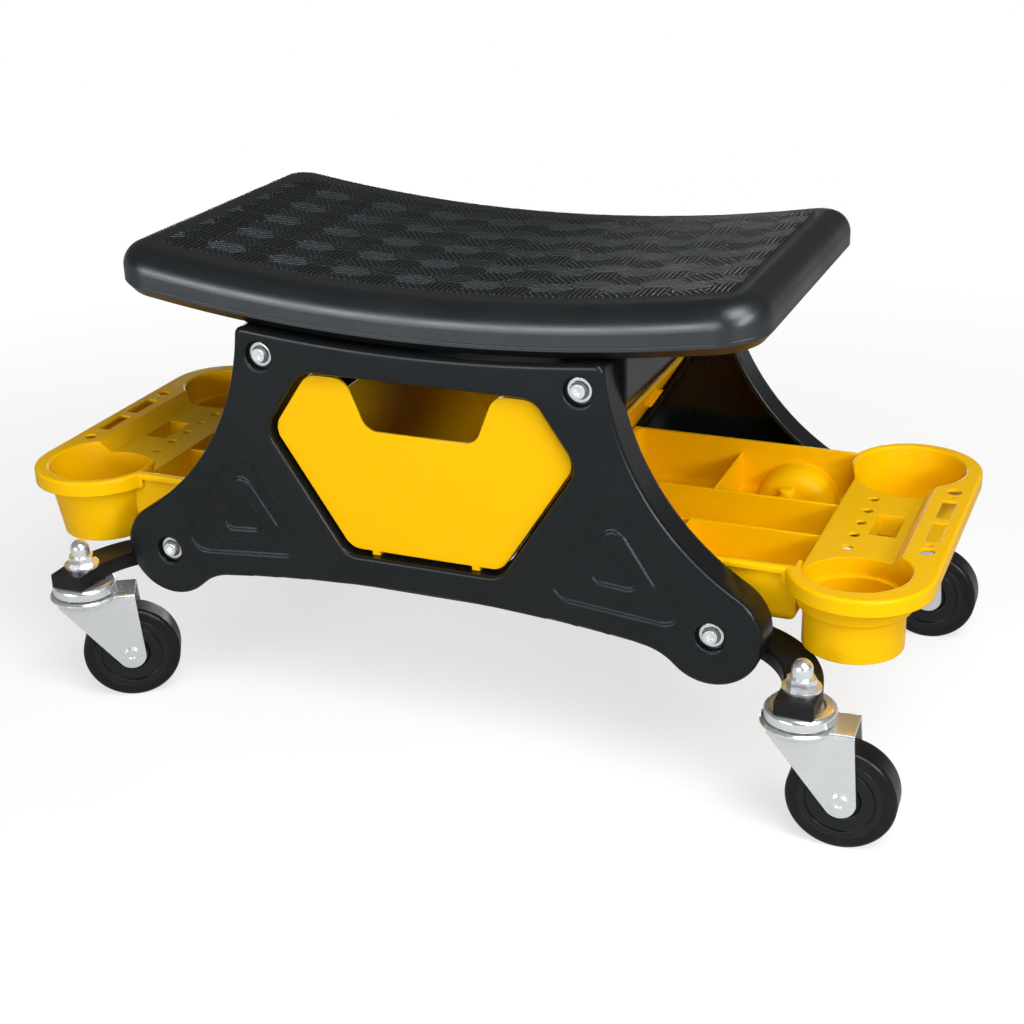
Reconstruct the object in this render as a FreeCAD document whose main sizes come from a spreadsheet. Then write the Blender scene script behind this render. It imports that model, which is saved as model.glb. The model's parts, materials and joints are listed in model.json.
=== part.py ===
import FreeCAD, Part
import Sketcher
import math
import os

Vector = FreeCAD.Vector
Rotation = FreeCAD.Rotation
Placement = FreeCAD.Placement
UP = Vector(0, 0, 1)

# Driving dimensions in millimetres, grouped by the piece that they belong to
DIMENSIONS = {
    # Seat top and its base pan
    "seat_half_length": 246.0,
    "seat_half_width": 141.0,
    "seat_curve_radius": 1300.0,
    "seat_low_z": 311.0,
    "seat_lip": 9.0,
    "seat_height": 35.0,
    "seat_corner_radius": 30.0,
    "seat_edge_radius": 17.0,
    "seat_lip_inset": 6.0,
    "seat_wall": 4.0,
    # Transverse blocks under the seat
    "block_half_width": 25.0,
    "block_drop": 50.0,
    "block_round": 18.0,
    "seat_screw_radius": 3.0,
    "seat_screw_head_radius": 5.5,
    "seat_screw_head": 3.2,
    "seat_screw_grip": 16.0,
    "seat_screw_y": 80.0,
    # Side panels
    "panel_face_y": 144.6,
    "panel_depth": 28.0,
    "panel_wall": 3.5,
    "panel_skin": 4.0,
    "panel_top_half": 140.5,
    "panel_top_z": 317.0,
    "panel_top_dip": 8.0,
    "panel_top_round": 6.0,
    "panel_edge_round": 3.0,
    "panel_side_radius": 200.0,
    "foot_x": 217.3,
    "foot_z": 128.3,
    "foot_radius": 37.0,
    "panel_arch_half": 152.0,
    "panel_arch_rise": 9.0,
    "panel_arch_z": 124.6,
    "panel_arch_fillet": 42.0,
    "window_top_z": 287.0,
    "window_top_half": 90.0,
    "window_side_z": 240.0,
    "window_side_half": 122.0,
    "window_low_z": 148.0,
    "window_low_half": 62.0,
    "window_round": 18.0,
    "window_edge_round": 2.0,
    "collar_wall": 3.0,
    "emboss_apex_x": 147.5,
    "emboss_apex_z": 227.0,
    "emboss_outer_x": 210.0,
    "emboss_outer_z": 130.0,
    "emboss_inner_x": 91.0,
    "emboss_inner_z": 141.0,
    "emboss_round": 14.0,
    "emboss_band": 11.5,
    "emboss_core": 20.0,
    "emboss_depth": 1.6,
    # Panel bolts, washers and nuts
    "upper_bolt_x": 122.5,
    "upper_bolt_z": 296.2,
    "bolt_radius": 4.0,
    "bolt_clearance": 0.4,
    "bolt_head_radius": 7.0,
    "bolt_head": 4.2,
    "bolt_socket": 5.0,
    "bolt_socket_depth": 2.4,
    "bolt_seat_radius": 11.0,
    "bolt_seat_depth": 6.0,
    "boss_radius": 14.0,
    "washer_radius": 8.8,
    "washer_thick": 1.6,
    "nut_flats": 13.0,
    "nut_height": 6.5,
    "insert_radius": 6.5,
    "insert_length": 22.0,
    # Bent frame bars
    "bar_top_z": 113.0,
    "bar_thick": 12.0,
    "bar_width": 27.0,
    "bar_y": 88.0,
    "bar_bend_radius": 80.0,
    "bar_end_y": 186.0,
    "bar_edge": 1.2,
    "lug_thick": 5.0,
    "lug_radius": 17.0,
    # Drawer
    "drawer_gap": 3.5,
    "drawer_inset": 7.0,
    "drawer_wall": 2.5,
    "drawer_length": 268.0,
    "drawer_side_drop": 4.0,
    "notch_low_half": 43.0,
    "notch_top_half": 58.0,
    "notch_depth": 38.0,
    "notch_round": 13.0,
    "runner_width": 6.0,
    "runner_x": 40.0,
    "runner_clearance": 0.3,
    "stop_length": 5.0,
    "stop_reach": 7.0,
    "stop_height": 14.0,
    "stop_back": 54.0,
    # Tool trays
    "tray_inner_x": 78.0,
    "tray_rim_z": 174.5,
    "tray_floor_z": 133.0,
    "tray_wall": 2.3,
    "tray_half_width": 110.5,
    "tray_lip": 3.0,
    "tray_lip_height": 5.0,
    "tray_round": 9.0,
    "divider_y": 29.5,
    "divider_top_z": 163.5,
    "cross_divider_x": 168.0,
    "shelf_x": 266.0,
    "shelf_z": 165.0,
    "rail_x": 324.0,
    "rail_top_x": 332.0,
    "skirt_height": 12.0,
    "cup_x": 306.0,
    "cup_rim_x": 309.0,
    "cup_y": 97.0,
    "cup_rim_radius": 51.0,
    "plain_mouth_radius": 42.0,
    "step_mouth_radius": 37.5,
    "cup_base_radius": 33.0,
    "cup_mouth_round": 1.8,
    "cup_step_z": 149.0,
    "cup_low_z": 118.5,
    "cup_edge_round": 2.5,
    "dome_radius": 31.0,
    "dome_end_y": 86.0,
    "dome_round": 15.0,
    "tray_screw_x": 213.0,
    "tray_screw_y": 79.5,
    "tray_boss_radius": 4.8,
    "tray_boss_top_z": 146.0,
    "tray_screw_radius": 2.0,
    "tray_screw_grip": 8.0,
    "rack_hole_x": 288.5,
    "rack_hole_radius": 4.0,
    "rack_hole_pitch": 22.8,
    "rack_slot_x": 307.5,
    "rack_slot_width": 20.0,
    "rack_slot_length": 38.0,
    "rail_hole_radius": 5.5,
    "rail_hole_y": 56.0,
    "rail_slot_width": 11.0,
    "rail_slot_length": 34.0,
    "rail_slot_y": 21.0,
    "rail_small_radius": 2.2,
    "rail_small_y": 45.0,
    # Casters
    "caster_x": 287.0,
    "caster_y": 164.0,
    "wheel_radius": 38.0,
    "wheel_width": 24.0,
    "wheel_trail": 31.0,
    "tyre_depth": 9.0,
    "tyre_round": 3.5,
    "hub_radius": 9.0,
    "hub_side_gap": 0.4,
    "web_recess": 1.5,
    "web_inner_radius": 13.0,
    "groove_radius": 23.6,
    "groove_width": 1.6,
    "axle_radius": 4.0,
    "axle_clearance": 0.06,
    "axle_head_radius": 6.0,
    "axle_head": 2.0,
    "axle_recess_radius": 2.6,
    "axle_recess": 1.2,
    "fork_side_gap": 1.2,
    "fork_plate": 2.5,
    "fork_toe_radius": 11.3,
    "fork_front": 20.0,
    "fork_back": 38.5,
    "fork_top_z": 91.0,
    "fork_front_z": 84.0,
    "race_radius": 24.8,
    "race_plate": 3.0,
    "race_recess": 1.4,
    "race_recess_radius": 17.0,
    "race_low_z": 92.5,
    "race_round": 4.0,
    "dish_radius": 27.5,
    "dish_low_radius": 22.0,
    "dish_low_z": 83.0,
    "ball_radius": 2.5,
    "ball_ring_radius": 17.0,
    "ball_gap": 0.1,
    "stem_radius": 6.0,
    "stem_clearance": 0.08,
    "stem_head_radius": 10.0,
    "stem_head": 3.0,
    "stem_gap": 0.3,
    "stem_washer_radius": 13.5,
    "stem_washer": 2.0,
    "acorn_flats": 18.0,
    "acorn_hex": 6.5,
    "acorn_neck": 6.0,
    "acorn_dome_radius": 7.3,
    "overrun": 5.0,
}

# Whole numbers, angles and shares
BALLS_PER_RACE = 10
RACK_HOLES = 5
HEX_SIDES = 6
TURN = 360.0
HALF_TURN = 180.0
TOE_ANGLE = -60.0
HEAD_TOP_SHARE = 0.72
SCREW_HEAD_SHARE = 0.85
JOIN_SHARE = 1e-5
LEVEL_SHARE = 1e-4
RIM_SHARE = 0.02
RIB_ROUND_SHARE = 0.45
EDGE_SAMPLES = 5
CASTERS = {
    "left_front": (-1, -1, 31.0),
    "right_front": (1, -1, 3.0),
    "left_rear": (-1, 1, -14.0),
    "right_rear": (1, 1, 1.0),
}

doc = FreeCAD.newDocument("rolling_mechanic_seat")
sheet = doc.addObject("Spreadsheet::Sheet", "dimensions")
for row, (alias, number) in enumerate(DIMENSIONS.items(), start=1):
    sheet.set("A%d" % row, alias)
    sheet.set("B%d" % row, str(number))
    sheet.setAlias("B%d" % row, alias)
doc.recompute()


class Size:
    """A length with its number and the same length written on the sheet's cells."""

    def __init__(self, number, text):
        self.number = number
        self.text = text

    def __add__(self, other):
        other = as_size(other)
        return Size(self.number + other.number, "(%s + %s)" % (self.text, other.text))

    def __sub__(self, other):
        other = as_size(other)
        return Size(self.number - other.number, "(%s - %s)" % (self.text, other.text))

    def __mul__(self, ratio):
        return Size(self.number * ratio, "(%s * %r)" % (self.text, ratio))

    def __truediv__(self, ratio):
        return Size(self.number / ratio, "(%s / %r)" % (self.text, ratio))

    def __neg__(self):
        return Size(-self.number, "(0 - %s)" % self.text)

    def __float__(self):
        return float(self.number)

    __radd__ = __add__


def as_size(value):
    return value if isinstance(value, Size) else Size(float(value), repr(float(value)))


class Dimensions:
    """Reads the sheet's cells by their names."""

    def __getattr__(self, alias):
        return Size(float(sheet.get(alias)), "dimensions.%s" % alias)


dim = Dimensions()
parts = []


def bind(thing, prop, size):
    thing.setExpression(prop, as_size(size).text)


def place(thing, x=0, y=0, z=0, turn=0.0, axis=UP):
    """Set a placement whose position stays bound to the sheet."""
    thing.Placement = Placement(Vector(float(x), float(y), float(z)), Rotation(axis, turn))
    for prop, size in (("x", x), ("y", y), ("z", z)):
        if isinstance(size, Size):
            bind(thing, "Placement.Base." + prop, size)


def keep(thing, label):
    """Name a finished sub-part, so that it is checked and written."""
    thing.Label = label
    parts.append(thing)
    return thing


# Plain geometry in a plane: points are (x, y) pairs of numbers
def meet(centre_a, radius_a, centre_b, radius_b, side):
    """Where two circles cross, on the side that is left (1) or right (-1) of a to b."""
    dx = centre_b[0] - centre_a[0]
    dy = centre_b[1] - centre_a[1]
    gap = math.hypot(dx, dy)
    along = (radius_a ** 2 - radius_b ** 2 + gap ** 2) / (2 * gap)
    off = side * math.sqrt(radius_a ** 2 - along ** 2)
    return (centre_a[0] + (along * dx - off * dy) / gap, centre_a[1] + (along * dy + off * dx) / gap)


def towards(start, target, distance):
    gap = math.hypot(target[0] - start[0], target[1] - start[1])
    return (start[0] + (target[0] - start[0]) * distance / gap,
            start[1] + (target[1] - start[1]) * distance / gap)


def on_circle(centre, radius, point):
    return towards(centre, point, radius)


def bulge(start, end, centre, radius):
    """The middle point of the shorter arc from start to end."""
    middle = ((start[0] + end[0]) / 2, (start[1] + end[1]) / 2)
    return on_circle(centre, radius, middle)


def mirrored(point):
    return (-point[0], point[1])


def flipped(point):
    return (point[0], -point[1])


def inset_polygon(points, distance):
    """Move each side of a clockwise polygon inwards, or outwards for a negative distance."""
    lines = []
    for start, end in zip(points, points[1:] + points[:1]):
        run = math.hypot(end[0] - start[0], end[1] - start[1])
        normal = ((end[1] - start[1]) / run, (start[0] - end[0]) / run)
        lines.append((start[0] + normal[0] * distance, start[1] + normal[1] * distance,
                      end[0] - start[0], end[1] - start[1]))
    corners = []
    for before, after in zip(lines[-1:] + lines[:-1], lines):
        cross = before[2] * after[3] - before[3] * after[2]
        reach = ((after[0] - before[0]) * after[3] - (after[1] - before[1]) * after[2]) / cross
        corners.append((before[0] + before[2] * reach, before[1] + before[3] * reach))
    return corners


def rounded(points, radii):
    """A closed outline of lines and arcs: each corner of the polygon gets its radius."""
    cuts = []
    for before, corner, after, radius in zip(points[-1:] + points[:-1], points,
                                             points[1:] + points[:1], radii):
        a = math.atan2(before[1] - corner[1], before[0] - corner[0])
        b = math.atan2(after[1] - corner[1], after[0] - corner[0])
        half = abs((b - a + math.pi) % (2 * math.pi) - math.pi) / 2
        reach = radius / math.tan(half)
        first = towards(corner, before, reach)
        last = towards(corner, after, reach)
        middle = ((first[0] + last[0]) / 2, (first[1] + last[1]) / 2)
        centre = towards(corner, middle, radius / math.sin(half))
        cuts.append((first, on_circle(centre, radius, corner), last))
    outline = []
    for here, after in zip(cuts, cuts[1:] + cuts[:1]):
        outline.append(("arc",) + here)
        outline.append(("line", here[2], after[0]))
    return outline


def numbers(*pairs):
    return [(float(a), float(b)) for a, b in pairs]


def straight(points):
    return [("line", start, end) for start, end in zip(points, points[1:] + points[:1])]


# Building blocks of the document
def new_body(name):
    return doc.addObject("PartDesign::Body", name)


def origin_plane(body, role):
    return next(feature for feature in body.Origin.OriginFeatures if feature.Role == role)


def sketch(body, role, outlines, circles=(), offset=None):
    """A sketch on one of the body's own planes, with outlines of points and bound circles."""
    flat = body.newObject("Sketcher::SketchObject", "Sketch")
    flat.AttachmentSupport = [(origin_plane(body, role), "")]
    flat.MapMode = "FlatFace"
    if offset is not None:
        flat.AttachmentOffset = Placement(Vector(0, 0, float(offset)), Rotation())
        bind(flat, "AttachmentOffset.Base.z", offset)
    for outline in outlines:
        for segment in outline:
            corners = [Vector(float(point[0]), float(point[1]), 0) for point in segment[1:]]
            if segment[0] == "line":
                flat.addGeometry(Part.LineSegment(*corners), False)
            else:
                flat.addGeometry(Part.Arc(*corners), False)
    flat.detectMissingPointOnPointConstraints(JOIN_SHARE * float(dim.ball_gap))
    flat.makeMissingPointOnPointCoincident()
    for centre_x, centre_y, radius in circles:
        centre = Vector(float(centre_x), float(centre_y), 0)
        index = flat.addGeometry(Part.Circle(centre, UP, float(radius)), False)
        for kind, size in (("DistanceX", centre_x), ("DistanceY", centre_y)):
            constraint = flat.addConstraint(Sketcher.Constraint(kind, -1, 1, index, 3, float(size)))
            if isinstance(size, Size):
                bind(flat, "Constraints[%d]" % constraint, size)
        constraint = flat.addConstraint(Sketcher.Constraint("Radius", index, float(radius)))
        bind(flat, "Constraints[%d]" % constraint, radius)
    return flat


def pad(body, profile, length, both_ways=False, backwards=False):
    feature = body.newObject("PartDesign::Pad", "Pad")
    feature.Profile = profile
    feature.Length = float(length)
    bind(feature, "Length", length)
    feature.SideType = "Symmetric" if both_ways else "One side"
    feature.Reversed = backwards
    doc.recompute()
    return feature


def pocket(body, profile, length, both_ways=False, backwards=False):
    """Cut a profile away and make sure that something was cut."""
    before = body.Tip.Shape.Volume
    feature = body.newObject("PartDesign::Pocket", "Pocket")
    feature.Profile = profile
    feature.Length = float(length)
    bind(feature, "Length", length)
    feature.SideType = "Symmetric" if both_ways else "One side"
    feature.Reversed = backwards
    doc.recompute()
    if not feature.Shape.Volume < before:
        raise ValueError("a pocket in %s cut nothing" % body.Name)
    return feature


def revolve(body, outline):
    """Turn an outline, drawn as radius and height, about the body's upright axis."""
    profile = sketch(body, "XZ_Plane", [outline])
    feature = body.newObject("PartDesign::Revolution", "Turned")
    feature.Profile = profile
    feature.ReferenceAxis = (profile, ["V_Axis"])
    feature.Angle = TURN
    doc.recompute()
    return feature


def soften(body, kind, radius, chosen):
    """Fillet or chamfer the edges of the body's tip that the test chooses."""
    base = body.Tip
    names = ["Edge%d" % (index + 1) for index, edge in enumerate(base.Shape.Edges) if chosen(edge)]
    feature = body.newObject("PartDesign::" + kind, kind)
    feature.Base = (base, names)
    prop = "Radius" if kind == "Fillet" else "Size"
    setattr(feature, prop, float(radius))
    bind(feature, prop, radius)
    doc.recompute()
    return feature


def near(a, b):
    """True where two numbers agree to within a small share of the seat's length."""
    return abs(float(a) - float(b)) < LEVEL_SHARE * float(dim.seat_half_length)


def flat_at(edge, axis, level):
    """True for an edge that lies wholly at one level along an axis."""
    box = edge.BoundBox
    low = getattr(box, axis + "Min")
    high = getattr(box, axis + "Max")
    return near(low, level) and near(high, level)


def block(name, low, high):
    """A box between two corners, each a triple of sizes."""
    box = doc.addObject("Part::Box", name)
    for prop, near_side, far_side in zip(("Length", "Width", "Height"), low, high):
        length = as_size(far_side) - near_side
        setattr(box, prop, float(length))
        bind(box, prop, length)
    place(box, *[as_size(size) for size in low])
    return box


AXES = {"x": Vector(1, 0, 0), "y": Vector(0, 1, 0), "z": UP}


def aim(thing, start, axis, way):
    """Lay a round primitive along an axis, starting from a point."""
    direction = AXES[axis] * way
    thing.Placement = Placement(Vector(*[float(size) for size in start]), Rotation(UP, direction))
    for prop, size in zip(("x", "y", "z"), start):
        bind(thing, "Placement.Base." + prop, size)
    return thing


def rod(name, radius, length, start, axis="z", way=1):
    """A cylinder from a point along an axis."""
    cylinder = doc.addObject("Part::Cylinder", name)
    cylinder.Radius = float(radius)
    cylinder.Height = float(length)
    bind(cylinder, "Radius", radius)
    bind(cylinder, "Height", length)
    return aim(cylinder, start, axis, way)


def cone(name, radius, end_radius, length, start, axis="z", way=1):
    frustum = doc.addObject("Part::Cone", name)
    for prop, size in (("Radius1", radius), ("Radius2", end_radius), ("Height", length)):
        setattr(frustum, prop, float(size))
        bind(frustum, prop, size)
    return aim(frustum, start, axis, way)


def hex_bar(name, flats, length, start, axis="z", way=1):
    """A six-sided bar measured across its flats."""
    prism = doc.addObject("Part::Prism", name)
    prism.Polygon = HEX_SIDES
    corner = as_size(flats) / (2 * math.cos(math.pi / HEX_SIDES))
    prism.Circumradius = float(corner)
    prism.Height = float(length)
    bind(prism, "Circumradius", corner)
    bind(prism, "Height", length)
    return aim(prism, start, axis, way)


def ball(name, radius, centre):
    sphere = doc.addObject("Part::Sphere", name)
    sphere.Radius = float(radius)
    bind(sphere, "Radius", radius)
    return aim(sphere, centre, "z", 1)


def fuse(name, shapes):
    union = doc.addObject("Part::MultiFuse", name)
    union.Shapes = shapes
    union.Refine = True
    doc.recompute()
    return union


def cut(name, base, tools):
    """Take tools away from a base."""
    tool = tools[0] if len(tools) == 1 else fuse(name + "_tools", tools)
    difference = doc.addObject("Part::Cut", name)
    difference.Base = base
    difference.Tool = tool
    difference.Refine = True
    doc.recompute()
    return difference


def group(label, shapes):
    """Identical loose pieces that share one node."""
    compound = doc.addObject("Part::Compound", label)
    compound.Links = shapes
    doc.recompute()
    return keep(compound, label)


# Heights along the seat's curve: it dips in the middle and rises to both ends
def seat_level(x, base_z):
    radius = float(dim.seat_curve_radius)
    return float(base_z) + radius - math.sqrt(radius ** 2 - float(x) ** 2)


def seat_slice(body, low_z, high_z, half_length, half_width, corner):
    """A length of the seat between two parallel curves, with its plan corners rounded."""
    end = float(half_length)
    low_end = (end, seat_level(end, low_z))
    high_end = (end, seat_level(end, high_z))
    outline = [
        ("arc", mirrored(low_end), (0, float(low_z)), low_end),
        ("line", low_end, high_end),
        ("arc", high_end, (0, float(high_z)), mirrored(high_end)),
        ("line", mirrored(high_end), mirrored(low_end)),
    ]
    pad(body, sketch(body, "XZ_Plane", [outline]), as_size(half_width) * 2, both_ways=True)

    def upright_corner(edge):
        return edge.BoundBox.XLength + edge.BoundBox.YLength < edge.BoundBox.ZLength

    soften(body, "Fillet", corner, upright_corner)


def rim_edges(base_z):
    """A test for the edges that run round one of the seat's curved faces."""
    def chosen(edge):
        points = edge.discretize(EDGE_SAMPLES)
        slack = RIM_SHARE * float(dim.seat_lip)
        return all(abs(point.z - seat_level(point.x, base_z)) < slack for point in points)
    return chosen


seat_parting_z = dim.seat_low_z + dim.seat_lip
seat_top_z = dim.seat_low_z + dim.seat_height


def make_seat_top():
    outer = new_body("seat_skin")
    seat_slice(outer, seat_parting_z, seat_top_z, dim.seat_half_length, dim.seat_half_width,
               dim.seat_corner_radius)
    soften(outer, "Fillet", dim.seat_edge_radius, rim_edges(seat_top_z))
    inner = new_body("seat_hollow")
    inset = dim.seat_wall
    seat_slice(inner, seat_parting_z - dim.overrun, seat_top_z - inset, dim.seat_half_length - inset,
               dim.seat_half_width - inset, dim.seat_corner_radius - inset)
    soften(inner, "Fillet", dim.seat_edge_radius - inset, rim_edges(seat_top_z - inset))
    return keep(cut("seat_top", outer, [inner]), "seat_top")


def make_seat_base():
    outer = new_body("base_skin")
    seat_slice(outer, dim.seat_low_z, seat_parting_z, dim.seat_half_length, dim.seat_half_width,
               dim.seat_corner_radius)
    soften(outer, "Chamfer", dim.seat_lip_inset, rim_edges(dim.seat_low_z))
    inner = new_body("base_hollow")
    inset = dim.seat_lip_inset + dim.seat_wall
    seat_slice(inner, dim.seat_low_z + dim.seat_wall, seat_parting_z + dim.overrun,
               dim.seat_half_length - inset, dim.seat_half_width - inset, dim.seat_corner_radius - inset)
    holes = []
    for side in (-1, 1):
        for depth_side in (-1, 1):
            start = (dim.upper_bolt_x * side, dim.seat_screw_y * depth_side, dim.seat_low_z - dim.seat_lip)
            holes.append(rod("base_hole", dim.seat_screw_radius + dim.bolt_clearance, dim.seat_height, start))
    return keep(cut("seat_base", outer, [inner] + holes), "seat_base")


make_seat_top()
make_seat_base()


# Levels along Y that the panels, bars and blocks share, measured from the middle
panel_back_y = dim.panel_face_y - dim.panel_depth
lug_outer_y = dim.bar_y + dim.bar_width / 2
lug_inner_y = lug_outer_y - dim.lug_thick
foot_boss_length = dim.panel_face_y - lug_outer_y


def panel_outline(inset):
    """The side panel's outline: a dipped top, hollow sides, round feet and an arched lower edge."""
    inset = float(inset)
    half = float(dim.panel_top_half)
    dip = float(dim.panel_top_dip)
    top_radius = (half ** 2 + dip ** 2) / (2 * dip)
    top_centre = (0, float(dim.panel_top_z) - dip + top_radius)
    foot = (float(dim.foot_x), float(dim.foot_z))
    foot_radius = float(dim.foot_radius)
    side_radius = float(dim.panel_side_radius)
    corner = (half, float(dim.panel_top_z))
    side_centre = meet(corner, side_radius, foot, side_radius + foot_radius, 1)
    rise = float(dim.panel_arch_rise)
    arch_radius = (float(dim.panel_arch_half) ** 2 + rise ** 2) / (2 * rise)
    arch_centre = (0, float(dim.panel_arch_z) - arch_radius)
    fillet = float(dim.panel_arch_fillet)
    fillet_centre = meet(arch_centre, arch_radius - fillet, foot, foot_radius + fillet, 1)

    top_corner = meet(top_centre, top_radius + inset, side_centre, side_radius + inset, -1)
    foot_top = on_circle(foot, foot_radius - inset, side_centre)
    foot_low = on_circle(foot, foot_radius - inset, fillet_centre)
    arch_end = towards(arch_centre, fillet_centre, arch_radius + inset)
    foot_out = (foot[0] + foot_radius - inset, foot[1])
    right = [
        (top_corner, bulge(top_corner, foot_top, side_centre, side_radius + inset), foot_top),
        (foot_top, foot_out, foot_low),
        (foot_low, bulge(foot_low, arch_end, fillet_centre, fillet + inset), arch_end),
    ]
    outline = [("arc", mirrored(top_corner), (0, top_centre[1] - top_radius - inset), top_corner)]
    outline += [("arc",) + piece for piece in right]
    outline.append(("arc", arch_end, (0, arch_centre[1] + arch_radius + inset), mirrored(arch_end)))
    for start, middle, end in reversed(right):
        outline.append(("arc", mirrored(end), mirrored(middle), mirrored(start)))
    return outline


def window_corners():
    """The six corners of the drawer window, clockwise from the top left."""
    right = [
        (float(dim.window_top_half), float(dim.window_top_z)),
        (float(dim.window_side_half), float(dim.window_side_z)),
        (float(dim.window_low_half), float(dim.window_low_z)),
    ]
    return [mirrored(right[0])] + right + [mirrored(right[2]), mirrored(right[1])]


def window_outline(inset):
    radius = max(float(dim.window_round) - float(inset), float(dim.drawer_gap))
    corners = inset_polygon(window_corners(), float(inset))
    return rounded(corners, [radius] * len(corners))


def emboss_outlines(side):
    """Three triangles, one inside the other, beside the window."""
    corners = [
        (float(dim.emboss_apex_x) * side, float(dim.emboss_apex_z)),
        (float(dim.emboss_outer_x) * side, float(dim.emboss_outer_z)),
        (float(dim.emboss_inner_x) * side, float(dim.emboss_inner_z)),
    ]
    if side < 0:
        corners.reverse()
    outlines = []
    for inset in (0, float(dim.emboss_band), float(dim.emboss_core)):
        radius = float(dim.emboss_round) * (1 - inset / (2 * float(dim.emboss_core)))
        outlines.append(rounded(inset_polygon(corners, inset), [radius] * len(corners)))
    return outlines


def both_sides(size):
    return (-size, size)


def in_window(edge):
    """True for an edge of the drawer window, and not of the panel's rim."""
    box = edge.BoundBox
    reach = max(abs(box.XMin), abs(box.XMax))
    inside = float(dim.window_low_z) - float(dim.collar_wall) < box.ZMin
    below = box.ZMax < float(dim.window_top_z) + float(dim.collar_wall)
    return inside and below and reach < float(dim.panel_top_half)


def make_panel(label, turn):
    """A moulded side panel: its face at y = 0, its hollow back towards +y before it is placed."""
    body = new_body(label)
    pad(body, sketch(body, "XZ_Plane", [panel_outline(0)]), dim.panel_depth, backwards=True)

    def top_corner(edge):
        box = edge.BoundBox
        return box.YLength > float(dim.panel_depth) / 2 and box.ZMin > float(dim.window_top_z)

    soften(body, "Fillet", dim.panel_top_round, top_corner)
    soften(body, "Fillet", dim.panel_edge_round, lambda edge: flat_at(edge, "Y", 0))

    bosses = [(x, dim.upper_bolt_z, dim.boss_radius) for x in both_sides(dim.upper_bolt_x)]
    bosses += [(x, dim.foot_z, dim.boss_radius) for x in both_sides(dim.foot_x)]
    hollow = sketch(body, "XZ_Plane", [panel_outline(dim.panel_wall), window_outline(-dim.collar_wall)], bosses,
                    -dim.panel_skin)
    pocket(body, hollow, dim.panel_depth)
    pocket(body, sketch(body, "XZ_Plane", [window_outline(0)], offset=dim.overrun),
           dim.panel_depth + dim.overrun * 2)
    soften(body, "Fillet", dim.window_edge_round, lambda edge: flat_at(edge, "Y", 0) and in_window(edge))

    feet = [(x, dim.foot_z, dim.boss_radius) for x in both_sides(dim.foot_x)]
    pad(body, sketch(body, "XZ_Plane", [], feet, -dim.panel_skin), foot_boss_length - dim.panel_skin,
        backwards=True)
    for side in (-1, 1):
        pocket(body, sketch(body, "XZ_Plane", emboss_outlines(side), offset=dim.overrun),
               dim.overrun + dim.emboss_depth)
    places = [(x, dim.upper_bolt_z) for x in both_sides(dim.upper_bolt_x)]
    places += [(x, dim.foot_z) for x in both_sides(dim.foot_x)]
    seats = [(x, z, dim.bolt_seat_radius) for x, z in places]
    holes = [(x, z, dim.bolt_radius + dim.bolt_clearance) for x, z in places]
    pocket(body, sketch(body, "XZ_Plane", [], seats, dim.overrun), dim.overrun + dim.bolt_seat_depth)
    pocket(body, sketch(body, "XZ_Plane", [], holes, dim.overrun), foot_boss_length + dim.overrun * 2)
    place(body, y=-dim.panel_face_y if turn == 0 else dim.panel_face_y, turn=turn)
    return keep(body, label)


make_panel("front_panel", 0.0)
make_panel("rear_panel", HALF_TURN)


def make_seat_block(label, side):
    """A moulded block between the panels, under the seat, that the upper bolts screw into."""
    left = float(dim.upper_bolt_x) * side - float(dim.block_half_width)
    right = float(dim.upper_bolt_x) * side + float(dim.block_half_width)
    middle = (left + right) / 2
    low = float(dim.seat_low_z) - float(dim.block_drop) + (seat_level(middle, 0))
    corner = float(dim.block_round)
    outline = [
        ("arc", (left, seat_level(left, dim.seat_low_z)), (middle, seat_level(middle, dim.seat_low_z)),
         (right, seat_level(right, dim.seat_low_z))),
        ("line", (right, seat_level(right, dim.seat_low_z)), (right, low + corner)),
        ("line", (right - corner, low), (left + corner, low)),
        ("line", (left, low + corner), (left, seat_level(left, dim.seat_low_z))),
    ]
    for edge, way in ((right, -1), (left, 1)):
        centre = (edge + way * corner, low + corner)
        outline.append(("arc", (edge, low + corner), on_circle(centre, corner, (edge, low)), (centre[0], low)))
    body = new_body(label + "_body")
    pad(body, sketch(body, "XZ_Plane", [outline]), panel_back_y * 2, both_ways=True)
    holes = []
    for depth_side in (-1, 1):
        start = (dim.upper_bolt_x * side, panel_back_y * depth_side, dim.upper_bolt_z)
        holes.append(rod("insert_hole", dim.insert_radius, dim.insert_length, start, "y", -depth_side))
        start = (dim.upper_bolt_x * side, dim.seat_screw_y * depth_side, dim.seat_low_z + dim.seat_lip)
        depth = dim.seat_screw_grip + dim.seat_lip
        holes.append(rod("screw_hole", dim.seat_screw_radius, depth, start, "z", -1))
    return keep(cut(label, body, holes), label)


make_seat_block("left_seat_block", -1)
make_seat_block("right_seat_block", 1)


def corners_of(x, y, z):
    """The four places that mirror one place across both middle planes."""
    return [(x * side, y * depth_side, z, depth_side) for side in (-1, 1) for depth_side in (-1, 1)]


def make_seat_screws():
    screws = []
    for x, y, z, depth_side in corners_of(dim.upper_bolt_x, dim.seat_screw_y, as_size(0)):
        head_z = Size(seat_level(dim.upper_bolt_x + dim.seat_screw_head_radius, dim.seat_low_z + dim.seat_wall),
                      "(dimensions.seat_low_z + dimensions.seat_wall + dimensions.seat_curve_radius"
                      " - sqrt(dimensions.seat_curve_radius ^ 2"
                      " - (dimensions.upper_bolt_x + dimensions.seat_screw_head_radius) ^ 2))")
        head = rod("screw_head", dim.seat_screw_head_radius, dim.seat_screw_head, (x, y, head_z))
        shank = rod("screw_shank", dim.seat_screw_radius, dim.seat_screw_grip, (x, y, head_z), "z", -1)
        screws.append(fuse("seat_screw", [head, shank]))
    return group("seat_screws", screws)


make_seat_screws()


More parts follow.
